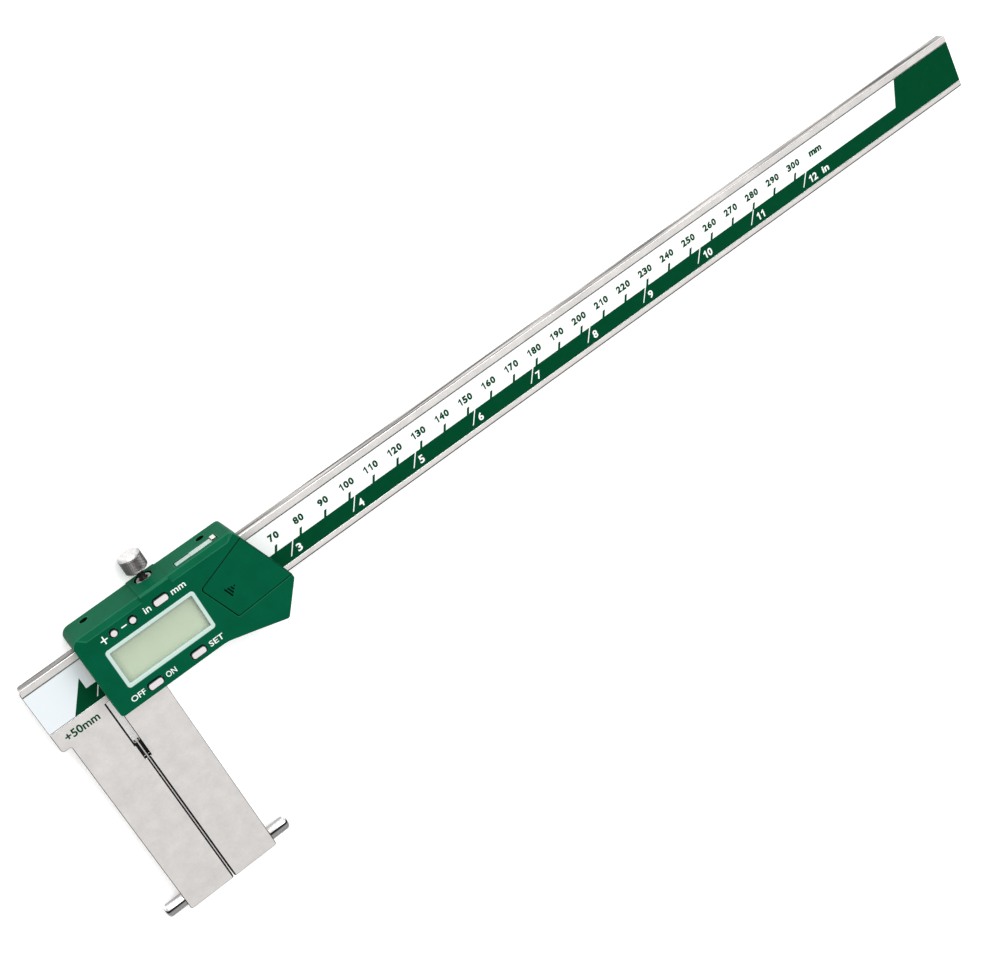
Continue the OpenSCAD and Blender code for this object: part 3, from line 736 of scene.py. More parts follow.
def new_object(name: str, data: ID) -> Object:
    """Put a mesh, curve, light or camera into the scene at the origin.

    Args:
        name: name of the new object.
        data: what it holds.

    Returns:
        The new object.
    """
    obj = bpy.data.objects.new(name, data)
    bpy.context.scene.collection.objects.link(obj)
    return obj


@contextmanager
def editing(mesh: Mesh) -> Iterator[BMesh]:
    """Open a mesh for editing and write it back at the end.

    Args:
        mesh: the mesh.

    Yields:
        The mesh as it is edited.
    """
    form = bmesh.new()
    form.from_mesh(mesh)
    yield form
    form.to_mesh(mesh)
    form.free()


def formed(name: str, form: BMesh) -> Object:
    """Close a mesh that was being built and make a new object of it.

    Args:
        name: name of the new object.
        form: the mesh being built.

    Returns:
        The new object.
    """
    mesh = bpy.data.meshes.new(name)
    form.to_mesh(mesh)
    form.free()
    return new_object(name, mesh)


def plain(obj: Object) -> Object:
    """Apply an object's modifiers and take them away.

    Args:
        obj: object with modifiers.

    Returns:
        The same object with a plain mesh.
    """
    depsgraph = bpy.context.evaluated_depsgraph_get()
    depsgraph.update()
    mesh = bpy.data.meshes.new_from_object(obj.evaluated_get(depsgraph), depsgraph=depsgraph)
    mesh.name = obj.name
    old = obj.data
    obj.modifiers.clear()
    obj.data = mesh
    if old.users == 0:
        bpy.data.batch_remove([old])
    return obj


def shade(mesh: Mesh, angle: float) -> None:
    """Smooth all faces and keep the steeper edges sharp.

    Args:
        mesh: the mesh.
        angle: edges above this many degrees stay sharp.
    """
    with editing(mesh) as form:
        for face in form.faces:
            face.smooth = True
        for edge in form.edges:
            edge.smooth = len(edge.link_faces) != 2 or edge.calc_face_angle(math.pi) < math.radians(angle)


def level_faces(mesh: Mesh, area: float = 2.0, least: float = 5e-4, most: float = 0.5,
                passes: int = 20) -> int:
    """Put stray corners of the large flat faces back on their planes.

    Args:
        mesh: a mesh whose edges have been rounded.
        area: smallest face to level, in square millimetres.
        least: distance from its plane in millimetres above which a corner is moved.
        most: distance above which a corner belongs elsewhere and stays.
        passes: rounds over all faces, because neighbours share their corners.

    Returns:
        The number of moves.
    """
    axes = (Vector((1, 0, 0)), Vector((0, 1, 0)), Vector((0, 0, 1)))
    moves = 0
    with editing(mesh) as form:
        large = [face for face in form.faces if face.calc_area() > area * MM * MM]
        for face in large * passes:
            way = next((axis for axis in axes if abs(axis.dot(face.normal)) > 0.9995), face.normal.copy())
            reach = sorted(way.dot(v.co) for v in face.verts)
            plane = reach[len(reach) // 2]
            for v in face.verts:
                off = plane - way.dot(v.co)
                if least * MM < abs(off) < most * MM:
                    v.co += way * off
                    moves += 1
    return moves


def refill(mesh: Mesh) -> int:
    """Cut large faces into triangles where their own filling would overlap itself.

    Args:
        mesh: a mesh with many-sided faces.

    Returns:
        The number of faces cut.
    """
    mesh.calc_loop_triangles()
    filled: Dict[int, float] = {}
    for triangle in mesh.loop_triangles:
        filled[triangle.polygon_index] = filled.get(triangle.polygon_index, 0.0) + triangle.area
    wrong = [p.index for p in mesh.polygons
             if len(p.vertices) > 4 and filled[p.index] - p.area > 0.001 * p.area]
    with editing(mesh) as form:
        form.faces.ensure_lookup_table()
        for face in [form.faces[i] for i in wrong]:
            _refill_face(form, face)
    return len(wrong)


def _refill_face(form: BMesh, face: BMFace) -> None:
    """Put triangles in the place of one face.

    Args:
        form: the mesh being edited.
        face: the face, which is taken out.
    """
    corners = list(face.verts)
    across = face.normal.orthogonal().normalized()
    up = face.normal.cross(across)
    middle = face.calc_center_median()
    flat = [Vector(((v.co - middle).dot(across), (v.co - middle).dot(up))) / MM for v in corners]
    ring = [(i, (i + 1) % len(corners)) for i in range(len(corners))]
    places, _, triangles, origins, _, _ = delaunay_2d_cdt(flat, ring, [], 1, 1e-6)
    found = [corners[origin[0]] if origin else form.verts.new(middle + (across * place.x + up * place.y) * MM)
             for place, origin in zip(places, origins)]
    kind, way = face.material_index, face.normal.copy()
    form.faces.remove(face)
    for triangle in triangles:
        made = form.faces.new([found[i] for i in triangle])
        made.normal_update()
        if made.normal.dot(way) < 0:
            made.normal_flip()
        made.material_index = kind


def eased(obj: Object, width: float, segments: int = 2, angle: float = 32,
          spare: Optional[Callable[[Vector], bool]] = None) -> Object:
    """Round the sharp edges of a piece.

    Args:
        obj: piece with a clean mesh.
        width: width of the rounding in millimetres.
        segments: faces across the rounding.
        angle: edges sharper than this many degrees are rounded.
        spare: test of an edge's middle in datum millimetres; where it holds, the edge stays sharp.

    Returns:
        The same object with a plain mesh.
    """
    with editing(obj.data) as form:
        weight = form.edges.layers.float.new("bevel_weight_edge")
        for edge in form.edges:
            if len(edge.link_faces) != 2 or edge.calc_face_angle(0.0) < math.radians(angle):
                continue
            middle = (edge.verts[0].co + edge.verts[1].co) / (2 * MM) - DATUM
            edge[weight] = 0.0 if spare and spare(middle) else 1.0
    bevel = obj.modifiers.new("edges", "BEVEL")
    bevel.width = width * MM
    bevel.segments = segments
    bevel.limit_method = "WEIGHT"
    bevel.use_clamp_overlap = False
    bevel.material = 1
    plain(obj)
    moves, filled = level_faces(obj.data), refill(obj.data)
    log.info("%s: corners levelled in %d moves, %d faces filled anew", obj.name, moves, filled)
    shade(obj.data, 50)
    weigh = obj.modifiers.new("normals", "WEIGHTED_NORMAL")
    weigh.keep_sharp = True
    return plain(obj)


def cad_copy(node: str) -> Object:
    """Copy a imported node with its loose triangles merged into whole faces.

    Args:
        node: the node.

    Returns:
        The copy, with room for the materials of its faces and of its rounded edges.
    """
    form = bmesh.new()
    form.from_mesh(frame["nodes"][node].data)
    bmesh.ops.remove_doubles(form, verts=form.verts, dist=2e-6)
    bmesh.ops.dissolve_limit(form, angle_limit=math.radians(0.7), verts=form.verts, edges=form.edges)
    for face in form.faces:
        face.material_index = 0
    copy = formed(f"{node}_eased", form)
    for _ in range(2):
        copy.data.materials.append(None)
    return copy


def settle(obj: Object, finish: Finish, body: str, *replaced: str,
           edge: Optional[Finish] = None) -> None:
    """Dress a new piece and let it ride on its body.

    Args:
        obj: the piece.
        finish: its finish.
        body: the body that carries it.
        replaced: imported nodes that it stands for.
        edge: finish of its rounded edges, where it differs.
    """
    rounded = [p.material_index if edge is not None else 0 for p in obj.data.polygons]
    obj.data.materials.clear()
    obj.data.materials.append(material_of(finish))
    if edge is not None:
        obj.data.materials.append(material_of(edge))
    obj.data.polygons.foreach_set("material_index", rounded)
    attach(obj, body)
    if replaced:
        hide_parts(*replaced)
    log.info("%s rides on %s with %d faces", obj.name, body, len(obj.data.polygons))


def dress_copy(node: str, width: float, finish: Finish, body: str, edge: Optional[Finish] = None,
               **rounding: Any) -> None:
    """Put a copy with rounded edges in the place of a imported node.

    Args:
        node: the node.
        width: width of the rounding in millimetres.
        finish: finish of the copy.
        body: the body that carries it.
        edge: finish of its rounded edges, where it differs.
        rounding: further settings of eased().
    """
    settle(eased(cad_copy(node), width, **rounding), finish, body, node, edge=edge)


def dress_node(node: str, finish: Finish) -> None:
    """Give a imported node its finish.

    Args:
        node: the node.
        finish: its finish.
    """
    obj = frame["nodes"][node]
    for place in obj.material_slots:
        place.material = material_of(finish)
    log.info("%s keeps its form", node)


def prism(form: BMesh, outline: Sequence[Point], low: float, high: float) -> None:
    """Add one flat plate to a mesh being built.

    Args:
        form: the mesh being built.
        outline: anticlockwise outline in datum millimetres.
        low: height of the underside.
        high: height of the top.
    """
    rings = [[form.verts.new(spot(x, y, z)) for x, y in outline] for z in (low, high)]
    form.faces.new(list(reversed(rings[0])))
    form.faces.new(rings[1])
    for i in range(len(outline)):
        j = (i + 1) % len(outline)
        form.faces.new([rings[0][i], rings[0][j], rings[1][j], rings[1][i]])


def plates(name: str, outlines: Sequence[Sequence[Point]], low: float, high: float) -> Object:
    """Build flat plates.

    Args:
        name: name of the piece.
        outlines: anticlockwise outlines in datum millimetres.
        low: height of the underside.
        high: height of the top.

    Returns:
        One object with all plates.
    """
    form = bmesh.new()
    for outline in outlines:
        prism(form, outline, low, high)
    bmesh.ops.triangulate(form, faces=[f for f in form.faces if len(f.verts) > 4])
    bmesh.ops.recalc_face_normals(form, faces=form.faces)
    return formed(name, form)


def bar(x: float, y: float, length: float, width: float) -> List[Point]:
    """Give the outline of an upright or lying bar round its centre."""
    return [(x - length / 2, y - width / 2), (x + length / 2, y - width / 2),
            (x + length / 2, y + width / 2), (x - length / 2, y + width / 2)]


def lathe(name: str, profile: Sequence[Point], centre: Place, axis: Vector, steps: int = 64) -> Object:
    """Turn a profile round an axis.

    Args:
        name: name of the piece.
        profile: pairs of radius and distance along the axis, from one pole to the other.
        centre: datum place from which the distances run.
        axis: direction of the axis.
        steps: faces round the piece.

    Returns:
        The turned piece.
    """
    side = axis.orthogonal().normalized()
    other = axis.cross(side)
    form = bmesh.new()
    rings = []
    for radius, reach in profile:
        middle = spot(*centre) + axis * reach * MM
        if radius < 1e-6:
            rings.append([form.verts.new(middle)])
        else:
            rings.append([form.verts.new(middle + (side * math.cos(a) + other * math.sin(a)) * radius * MM)
                          for a in (2 * math.pi * k / steps for k in range(steps))])
    for low, high in zip(rings, rings[1:]):
        for k in range(steps):
            m = (k + 1) % steps
            if len(low) == 1 and len(high) > 1:
                form.faces.new([low[0], high[k], high[m]])
            elif len(high) == 1 and len(low) > 1:
                form.faces.new([low[k], low[m], high[0]])
            elif len(low) > 1:
                form.faces.new([low[k], low[m], high[m], high[k]])
    bmesh.ops.recalc_face_normals(form, faces=form.faces)
    turned = formed(name, form)
    shade(turned.data, 35)
    return turned


def arc(centre: Point, radius: float, start: float, end: float, steps: int) -> List[Point]:
    """Give points on an arc.

    Args:
        centre: centre of the arc.
        radius: its radius.
        start: angle of the first point in degrees.
        end: angle of the last point in degrees.
        steps: number of steps between them.

    Returns:
        The points, one more than the steps.
    """
    return [(centre[0] + radius * math.cos(math.radians(start + (end - start) * k / steps)),
             centre[1] + radius * math.sin(math.radians(start + (end - start) * k / steps)))
            for k in range(steps + 1)]


class Lettering:
    """Plain words gathered into one thin printed piece."""

    ONE: Tuple[Tuple[Point, ...], ...] = (
        ((0.0, 0.0), (0.29, 0.0), (0.29, 1.0), (0.05, 1.0), (0.0, 0.94)),
        ((0.0, 0.94), (-0.36, 0.76), (-0.36, 0.59), (0.0, 0.72)))

    def __init__(self, name: str, low: float, high: float, weight: float = 0.02) -> None:
        """Start an empty print.

        Args:
            name: name of the piece.
            low: height of its underside in datum millimetres.
            high: height of its top.
            weight: boldness, as a share of the letters' size.
        """
        self.name, self.low, self.high, self.weight = name, low, high, weight
        self.form = bmesh.new()

    def word(self, text: str, x: float, y: float, height: float, width: Optional[float] = None) -> None:
        """Add a word.

        Args:
            text: the word.
            x: its centre along the beam.
            y: its centre across the beam.
            height: its height in millimetres.
            width: its width, or None for the font's own.
        """
        curve = bpy.data.curves.new(self.name, "FONT")
        curve.body = text
        curve.offset = self.weight
        curve.extrude = 0.01
        curve.resolution_u = 3
        source = new_object(self.name, curve)
        depsgraph = bpy.context.evaluated_depsgraph_get()
        mesh = bpy.data.meshes.new_from_object(source.evaluated_get(depsgraph), depsgraph=depsgraph)
        xs, ys = ([v.co[i] for v in mesh.vertices] for i in (0, 1))
        up = height / (max(ys) - min(ys))
        along = width / (max(xs) - min(xs)) if width else up
        for v in mesh.vertices:
            v.co = spot(x + (v.co.x - (max(xs) + min(xs)) / 2) * along,
                        y + (v.co.y - (max(ys) + min(ys)) / 2) * up, self.high if v.co.z > 0 else self.low)
        self.form.from_mesh(mesh)
        bpy.data.objects.remove(source)
        bpy.data.batch_remove([mesh, curve])

    def number(self, text: str, x: float, y: float, height: float, digit: float, gap: float) -> None:
        """Add a number, digit by digit, with a flagged one.

        Args:
            text: the number.
            x: its centre along the beam.
            y: its centre across the beam.
            height: its height in millimetres.
            digit: width of a digit.
            gap: room between digits.
        """
        left = x - (len(text) * digit + (len(text) - 1) * gap) / 2
        for k, letter in enumerate(text):
            middle = left + digit / 2 + k * (digit + gap)
            if letter != "1":
                self.word(letter, middle, y, height, digit)
                continue
            for outline in self.ONE:
                prism(self.form, [(middle + u * digit, y + (v - 0.5) * height) for u, v in outline],
                      self.low, self.high)

    def piece(self) -> Object:
        """Close the print and give it as an object."""
        bmesh.ops.remove_doubles(self.form, verts=self.form.verts, dist=1e-7)
        return formed(self.name, self.form)


class Grower(NodeCalls):
    """Geometry Nodes tree with named inputs, run once and turned into a plain mesh."""

    SOCKETS = {int: "NodeSocketInt", float: "NodeSocketFloat"}

    def __init__(self, name: str, inputs: Dict[str, float], finish: Finish) -> None:
        """Start a tree.

        Args:
            name: name of the tree and of the piece that it makes.
            inputs: named sizes with their values; whole numbers become integer inputs.
            finish: finish of the piece.
        """
        self.name, self.values = name, {**inputs, "Finish": material_of(finish)}
        self.group = bpy.data.node_groups.new(name, "GeometryNodeTree")
        super().__init__(self.group)
        face = self.group.interface
        self.keys = {}
        for key, value in self.values.items():
            kind = self.SOCKETS.get(type(value), "NodeSocketMaterial")
            self.keys[key] = face.new_socket(key, in_out="INPUT", socket_type=kind).identifier
        face.new_socket("Geometry", in_out="OUTPUT", socket_type="NodeSocketGeometry")
        self.sizes = self.add("NodeGroupInput").outputs

    def vector(self, x: Value, y: Value, z: Value) -> NodeSocket:
        """Join three values into a vector."""
        return self.add("ShaderNodeCombineXYZ", {0: x, 1: y, 2: z}).outputs[0]

    def grow(self, instances: NodeSocket) -> Object:
        """Realize the instances, set their material and make the piece.

        Args:
            instances: geometry that the tree has made.

        Returns:
            The piece as a plain mesh.
        """
        real = self.add("GeometryNodeRealizeInstances", {0: instances}).outputs[0]
        dressed = self.add("GeometryNodeSetMaterial", {
            "Geometry": real, "Material": self.sizes["Finish"]}).outputs[0]
        self.add("NodeGroupOutput", {0: dressed})
        obj = new_object(self.name, bpy.data.meshes.new(self.name))
        modifier = obj.modifiers.new("grow", "NODES")
        modifier.node_group = self.group
        for key, value in self.values.items():
            modifier[self.keys[key]] = value
        return plain(obj)


def leaning_marks(name: str, first: float, pitch: float, count: int, base: float, rise: float,
                  lean: float, width: float, low: float, high: float, finish: Finish) -> Object:
    """Grow a row of leaning scale marks.

    Args:
        name: name of the piece.
        first: datum X of the first mark's middle foot.
        pitch: distance between marks.
        count: number of marks.
        base: datum Y of the marks' feet.
        rise: height of a mark across the beam, negative where it hangs down.
        lean: shift along the beam from foot to top.
        width: width of a mark along the beam.
        low: height of the underside.
        high: height of the top.
        finish: ink.

    Returns:
        The row as one plain mesh.
    """
    start = spot(first, base + rise / 2, (low + high) / 2)
    grower = Grower(name, {
        "Count": count, "Pitch": pitch * MM, "Width": width * MM, "Rise": abs(rise) * MM,
        "Lean": lean / abs(rise), "Thickness": (high - low) * MM}, finish)
    sizes = grower.sizes
    cube = grower.add("GeometryNodeMeshCube", {
        "Size": grower.vector(sizes["Width"], sizes["Rise"], sizes["Thickness"])}).outputs[0]
    parts = grower.split(grower.add("GeometryNodeInputPosition").outputs[0])
    shear = grower.vector(grower.times(parts[1], sizes["Lean"]), 0.0, 0.0)
    mark = grower.add("GeometryNodeSetPosition", {"Geometry": cube, "Offset": shear}).outputs[0]
    line = grower.add("GeometryNodeMeshLine", {
        "Count": sizes["Count"], "Start Location": tuple(start),
        "Offset": grower.vector(sizes["Pitch"], 0.0, 0.0)}).outputs[0]
    placed = grower.add("GeometryNodeInstanceOnPoints", {"Points": line, "Instance": mark}).outputs[0]
    return grower.grow(placed)


@dataclass
class Beam:
    """Stainless beam with the fixed jaw, its scale board and the printed film."""

    edge: float = 0.2

    def build(self) -> None:
        """Build and dress the beam."""
        dress_copy("beam", self.edge, BEAM_STEEL, BEAM, STEEL_EDGE)
        dress_node("scale_board", BOARD)
        dress_node("scale_label", FILM)


@dataclass
class ContactPins:
    """Two turned pins that touch the walls of a bore."""

    radius: float = 2.5
    rounding: float = 1.4
    shank_radius: float = 1.24
    shank: float = 5.9
    pin_y: float = -84.5
    pin_z: float = -2.1
    foot_left: float = -18.3
    foot_right: float = 16.9
    stand_out: float = 7.4

    def profile(self) -> List[Point]:
        """Give the pin's profile.

        Returns:
            Radius and distance from the shank's end to the rounded tip.
        """
        return ([(0, -self.shank), (self.shank_radius - 0.2, -self.shank),
                 (self.shank_radius, -self.shank + 0.2), (self.shank_radius, 0.0),
                 (self.radius - 0.25, 0.0), (self.radius - 0.08, 0.06), (self.radius, 0.25)]
                + arc((self.radius - self.rounding, self.stand_out - self.rounding), self.rounding, 0, 84, 9)
                + [(0, self.stand_out)])

    def build(self) -> None:
        """Turn both pins and dress them."""
        for name, x, way, body, node in (
                ("fixed_contact_pin", self.foot_left, -1, BEAM, "fixed_pin"),
                ("moving_contact_pin", self.foot_right, 1, SLIDER, "moving_pin")):
            pin = lathe(name, self.profile(), (x, self.pin_y, self.pin_z), Vector((way, 0, 0)))
            settle(pin, PIN_STEEL, body, node)


@dataclass
class PrintedScale:
    """Marks and numbers printed on the film, and the note on the beam's head."""

    left: float = -21.6
    right: float = 380.4
    low: float = -5.1
    top: float = 10.6
    film_z: float = -0.05
    ink: float = 0.014
    border: float = 0.85
    apex: Point = (-4.0, 5.3)
    foot: float = -11.9
    end_low: float = 350.1
    end_top: float = 353.6
    inset: float = 0.03
    line_w: float = 0.13
    pitch: float = 10.0
    tick_rise: float = 2.2
    tick_lean: float = 1.3
    tick_w: float = 1.0
    slash_start: float = -1.0
    slash_drop: float = 4.5
    slash_lean: float = 3.1
    slash_w: float = 0.44
    number_h: float = 2.65
    number_lift: float = 3.85
    two_digit_shift: float = 2.0
    three_digit_shift: float = 1.6
    digit: float = 1.84
    gap: float = 0.14
    inch_y: float = -2.5
    inch_h: float = 2.85
    inch_digit: float = 1.9
    inch_shift: float = 1.3
    long_inch_shift: float = 2.5

    def build(self) -> None:
        """Print the green field, the marks, the numbers and the words, and paint the groove's shadow along
        the film's edges.
        """
        low, high = self.film_z, self.film_z + self.ink
        settle(self._field(low, high), GREEN_INK, BEAM)
        length, depth = self.right - self.left, self.top - self.low
        # painted shadow: dark lines where the film meets the edge of its groove
        groove_shadow_lines = plates("painted_groove_shadow_lines", [
            bar((self.left + self.right) / 2, self.top - 0.07, length - 0.1, self.line_w),
            bar(self.left + 0.08, (self.low + self.top) / 2, self.line_w, depth - 0.3),
            bar((self.left + self.foot) / 2, self.low + 0.1, self.foot - self.left - 0.3, self.line_w)],
            low, high)
        settle(groove_shadow_lines, GROOVE_SHADOW_PAINT, BEAM)
        self._metric(low, high)
        self._inches(high, high + self.ink)
        note = Lettering("reach_note", 0.0, self.ink, 0.025)
        note.word("+50mm", -11.95, -9.2, 3.0, 12.5)
        settle(note.piece(), GREEN_INK, BEAM)

    def _field(self, low: float, high: float) -> Object:
        """Print the green field: a long band, its pointed start and its wide end.

        Args:
            low: height of the underside.
            high: height of the top.

        Returns:
            The field.
        """
        share = (self.border - self.low) / (self.apex[1] - self.low)
        cross = self.foot + share * (self.apex[0] - self.foot)
        floor, ceiling, end = self.low + self.inset, self.top - self.inset, self.right - self.inset
        return plates("green_scale_field", [
            [(self.foot, floor), (end, floor), (end, self.border), (cross, self.border)],
            [(cross, self.border), (self.apex[0], self.border), self.apex],
            [(self.end_low, self.border), (end, self.border), (end, ceiling), (self.end_top, ceiling)]],
            low, high)

    def _metric(self, low: float, high: float) -> None:
        """Print the millimetre marks and numbers.

        Args:
            low: height of the underside.
            high: height of the top.
        """
        marks = leaning_marks("millimetre_marks", self.pitch + self.tick_lean / 2, self.pitch, 30,
                              self.border - 0.02, self.tick_rise, self.tick_lean, self.tick_w,
                              low, high, GREEN_INK)
        settle(marks, GREEN_INK, BEAM)
        numbers = Lettering("millimetre_numbers", low, high, 0.055)
        y = self.border + self.number_lift + self.number_h / 2
        for k in range(1, 31):
            x = self.pitch * k + (self.two_digit_shift if k < 10 else self.three_digit_shift)
            numbers.number(str(10 * k), x, y, self.number_h, self.digit, self.gap)
        numbers.word("mm", 312.2, y - 0.4, 2.0, 5.8)
        settle(numbers.piece(), GREEN_INK, BEAM)

    def _inches(self, low: float, high: float) -> None:
        """Print the inch slashes and numbers.

        Args:
            low: height of the underside.
            high: height of the top.
        """
        slashes = leaning_marks("inch_slashes", self.slash_start, INCH, 13, self.border, -self.slash_drop,
                                self.slash_lean, self.slash_w, low, high, WHITE_INK)
        settle(slashes, WHITE_INK, BEAM)
        numbers = Lettering("inch_numbers", low, high, 0.025)
        for k in range(1, 13):
            x = INCH * k + (self.inch_shift if k < 10 else self.long_inch_shift)
            numbers.number(str(k), x, self.inch_y, self.inch_h, self.inch_digit, self.gap)
        numbers.word("in", 313.4, -2.4, 2.6, 3.0)
        settle(numbers.piece(), WHITE_INK, BEAM)


@dataclass
class Slider:
    """Steel slider frame with the moving jaw, the gib, the screws and the lock screw."""

    edge: float = 0.2
    jaw_top: float = -11.2
    knob_low: float = 23.2
    knob_top: float = 29.5
    knob_radius: float = 4.0
    neck_radius: float = 1.25
    thread_radius: float = 1.5
    thread_low: float = 15.5
    thread_pitch: float = 0.5
    seat_bore: float = 1.62
    seat_radius: float = 2.7
    frame_top: float = 18.2
    knurl_depth: float = 0.18
    knurl_low: float = 23.8
    knurl_top: float = 28.6
    knurl_around: int = 36

    def build(self) -> None:
        """Build and dress the slider's steel pieces."""
        dress_copy("slider_frame", self.edge, BEAM_STEEL, SLIDER, STEEL_EDGE,
                   spare=lambda p: p.y > self.jaw_top or p.z < -5)
        dress_node("gib_strip", GIB_BRASS)
        dress_copy("gib_screws", 0.08, DARK_STEEL, SLIDER, segments=1)
        dress_copy("housing_screws", 0.06, DARK_STEEL, SLIDER, segments=1)
        dress_node("lock_pad", GIB_BRASS)
        self._lock_screw("lock_screw_body")

    def _lock_screw(self, body: str) -> None:
        """Turn the lock screw and its seat, and grow its knurl.

        Args:
            body: the screw's body.
        """
        radius, foot, head = self.knob_radius, self.knob_low, self.knob_top
        low, top, core = self.knurl_low, self.knurl_top, radius - self.knurl_depth
        knob = lathe("lock_knob", [
            (0, foot), (radius - 0.75, foot), (radius - 0.12, foot + 0.4), (radius, foot + 0.52),
            (radius, low - 0.04), (core, low + 0.05), (core, top - 0.05), (radius, top + 0.05),
            (radius - 0.02, top + 0.2), (radius - 0.72, head - 0.06), (radius - 0.85, head),
            (radius - 1.1, head - 0.02), (1.4, head - 0.1), (0.35, head - 0.14), (0, head - 0.2)],
            SCREW_AXIS, SCREW_WAY, 96)
        settle(knob, KNOB_STEEL, body, "lock_screw")
        neck = [(self.neck_radius, self.frame_top), (self.neck_radius, foot - 0.5),
                (self.neck_radius + 0.25, foot + 0.05), (0, foot + 0.05)]
        settle(lathe("lock_screw_stem", self._thread() + neck, SCREW_AXIS, SCREW_WAY, 40), NECK_STEEL, body)
        bore, rim, shelf = self.seat_bore, self.seat_radius, self.frame_top
        seat = lathe("lock_screw_seat", [
            (bore, shelf - 0.05), (rim, shelf - 0.05), (rim, shelf + 1.5), (rim - 0.2, shelf + 1.65),
            (bore + 0.2, shelf + 1.65), (bore, shelf + 1.5), (bore, shelf - 0.05)], SCREW_AXIS, SCREW_WAY)
        settle(seat, SEAT_STEEL, SLIDER)
        settle(self._knurl(core), KNURL_STEEL, body)

    def _thread(self) -> List[Point]:
        """Give the profile of the thread.

        Returns:
            Radius and height, with one ridge for each turn.
        """
        y = self.thread_low + 0.3
        ridges = [(0, self.thread_low), (self.thread_radius - 0.3, self.thread_low)]
        while y + self.thread_pitch < self.frame_top - 0.3:
            ridges += [(self.thread_radius, y), (self.thread_radius - 0.25, y + self.thread_pitch / 2)]
            y += self.thread_pitch
        return ridges + [(self.thread_radius, y)]

    def _knurl(self, core: float) -> Object:
        """Grow the diamond knurl: four-sided cones in staggered rows round the knob.

        Args:
            core: radius under the cones.

        Returns:
            The knurl as a plain mesh.
        """
        half = math.pi * core / self.knurl_around
        rows = int((self.knurl_top - self.knurl_low - 0.1) / half) - 1
        base = spot(SCREW_AXIS[0], self.knurl_low + 0.05 + half, SCREW_AXIS[2])
        grower = Grower("lock_knob_knurl", {
            "Around": self.knurl_around, "Rows": rows, "Radius": core * MM, "Row Pitch": half * MM,
            "Cone Radius": half * 1.02 * MM, "Cone Height": self.knurl_depth * MM}, KNURL_STEEL)
        sizes = grower.sizes
        total = grower.times(sizes["Around"], sizes["Rows"])
        points = grower.add("GeometryNodePoints", {"Count": total}).outputs[0]
        index = grower.add("GeometryNodeInputIndex").outputs[0]
        row = grower.math("FLOOR", grower.math("DIVIDE", grower.plus(index, 0.5), sizes["Around"]))
        shift = grower.times(grower.math("MODULO", row, 2.0), 0.5)
        turn = grower.times(grower.math("DIVIDE", grower.plus(index, shift), sizes["Around"]), 2 * math.pi)
        out = grower.vector(grower.math("COSINE", turn), 0.0, grower.math("SINE", turn))
        side = grower.add("ShaderNodeVectorMath", {0: out, "Scale": sizes["Radius"]},
                          operation="SCALE").outputs[0]
        lift = grower.vector(base.x, grower.plus(grower.times(row, sizes["Row Pitch"]), base.y), base.z)
        place = grower.add("ShaderNodeVectorMath", {0: side, 1: lift}, operation="ADD").outputs[0]
        moved = grower.add("GeometryNodeSetPosition", {"Geometry": points, "Position": place}).outputs[0]
        axes = grower.add("FunctionNodeAxesToRotation", {0: out, 1: (0.0, 1.0, 0.0)}).outputs[0]
        cone = grower.add("GeometryNodeMeshCone", {
            "Vertices": 4, "Radius Top": 0.0, "Radius Bottom": sizes["Cone Radius"],
            "Depth": sizes["Cone Height"]}, fill_type="NONE").outputs[0]
        placed = grower.add("GeometryNodeInstanceOnPoints", {
            "Points": moved, "Instance": cone, "Rotation": axes}).outputs[0]
        return grower.grow(placed)


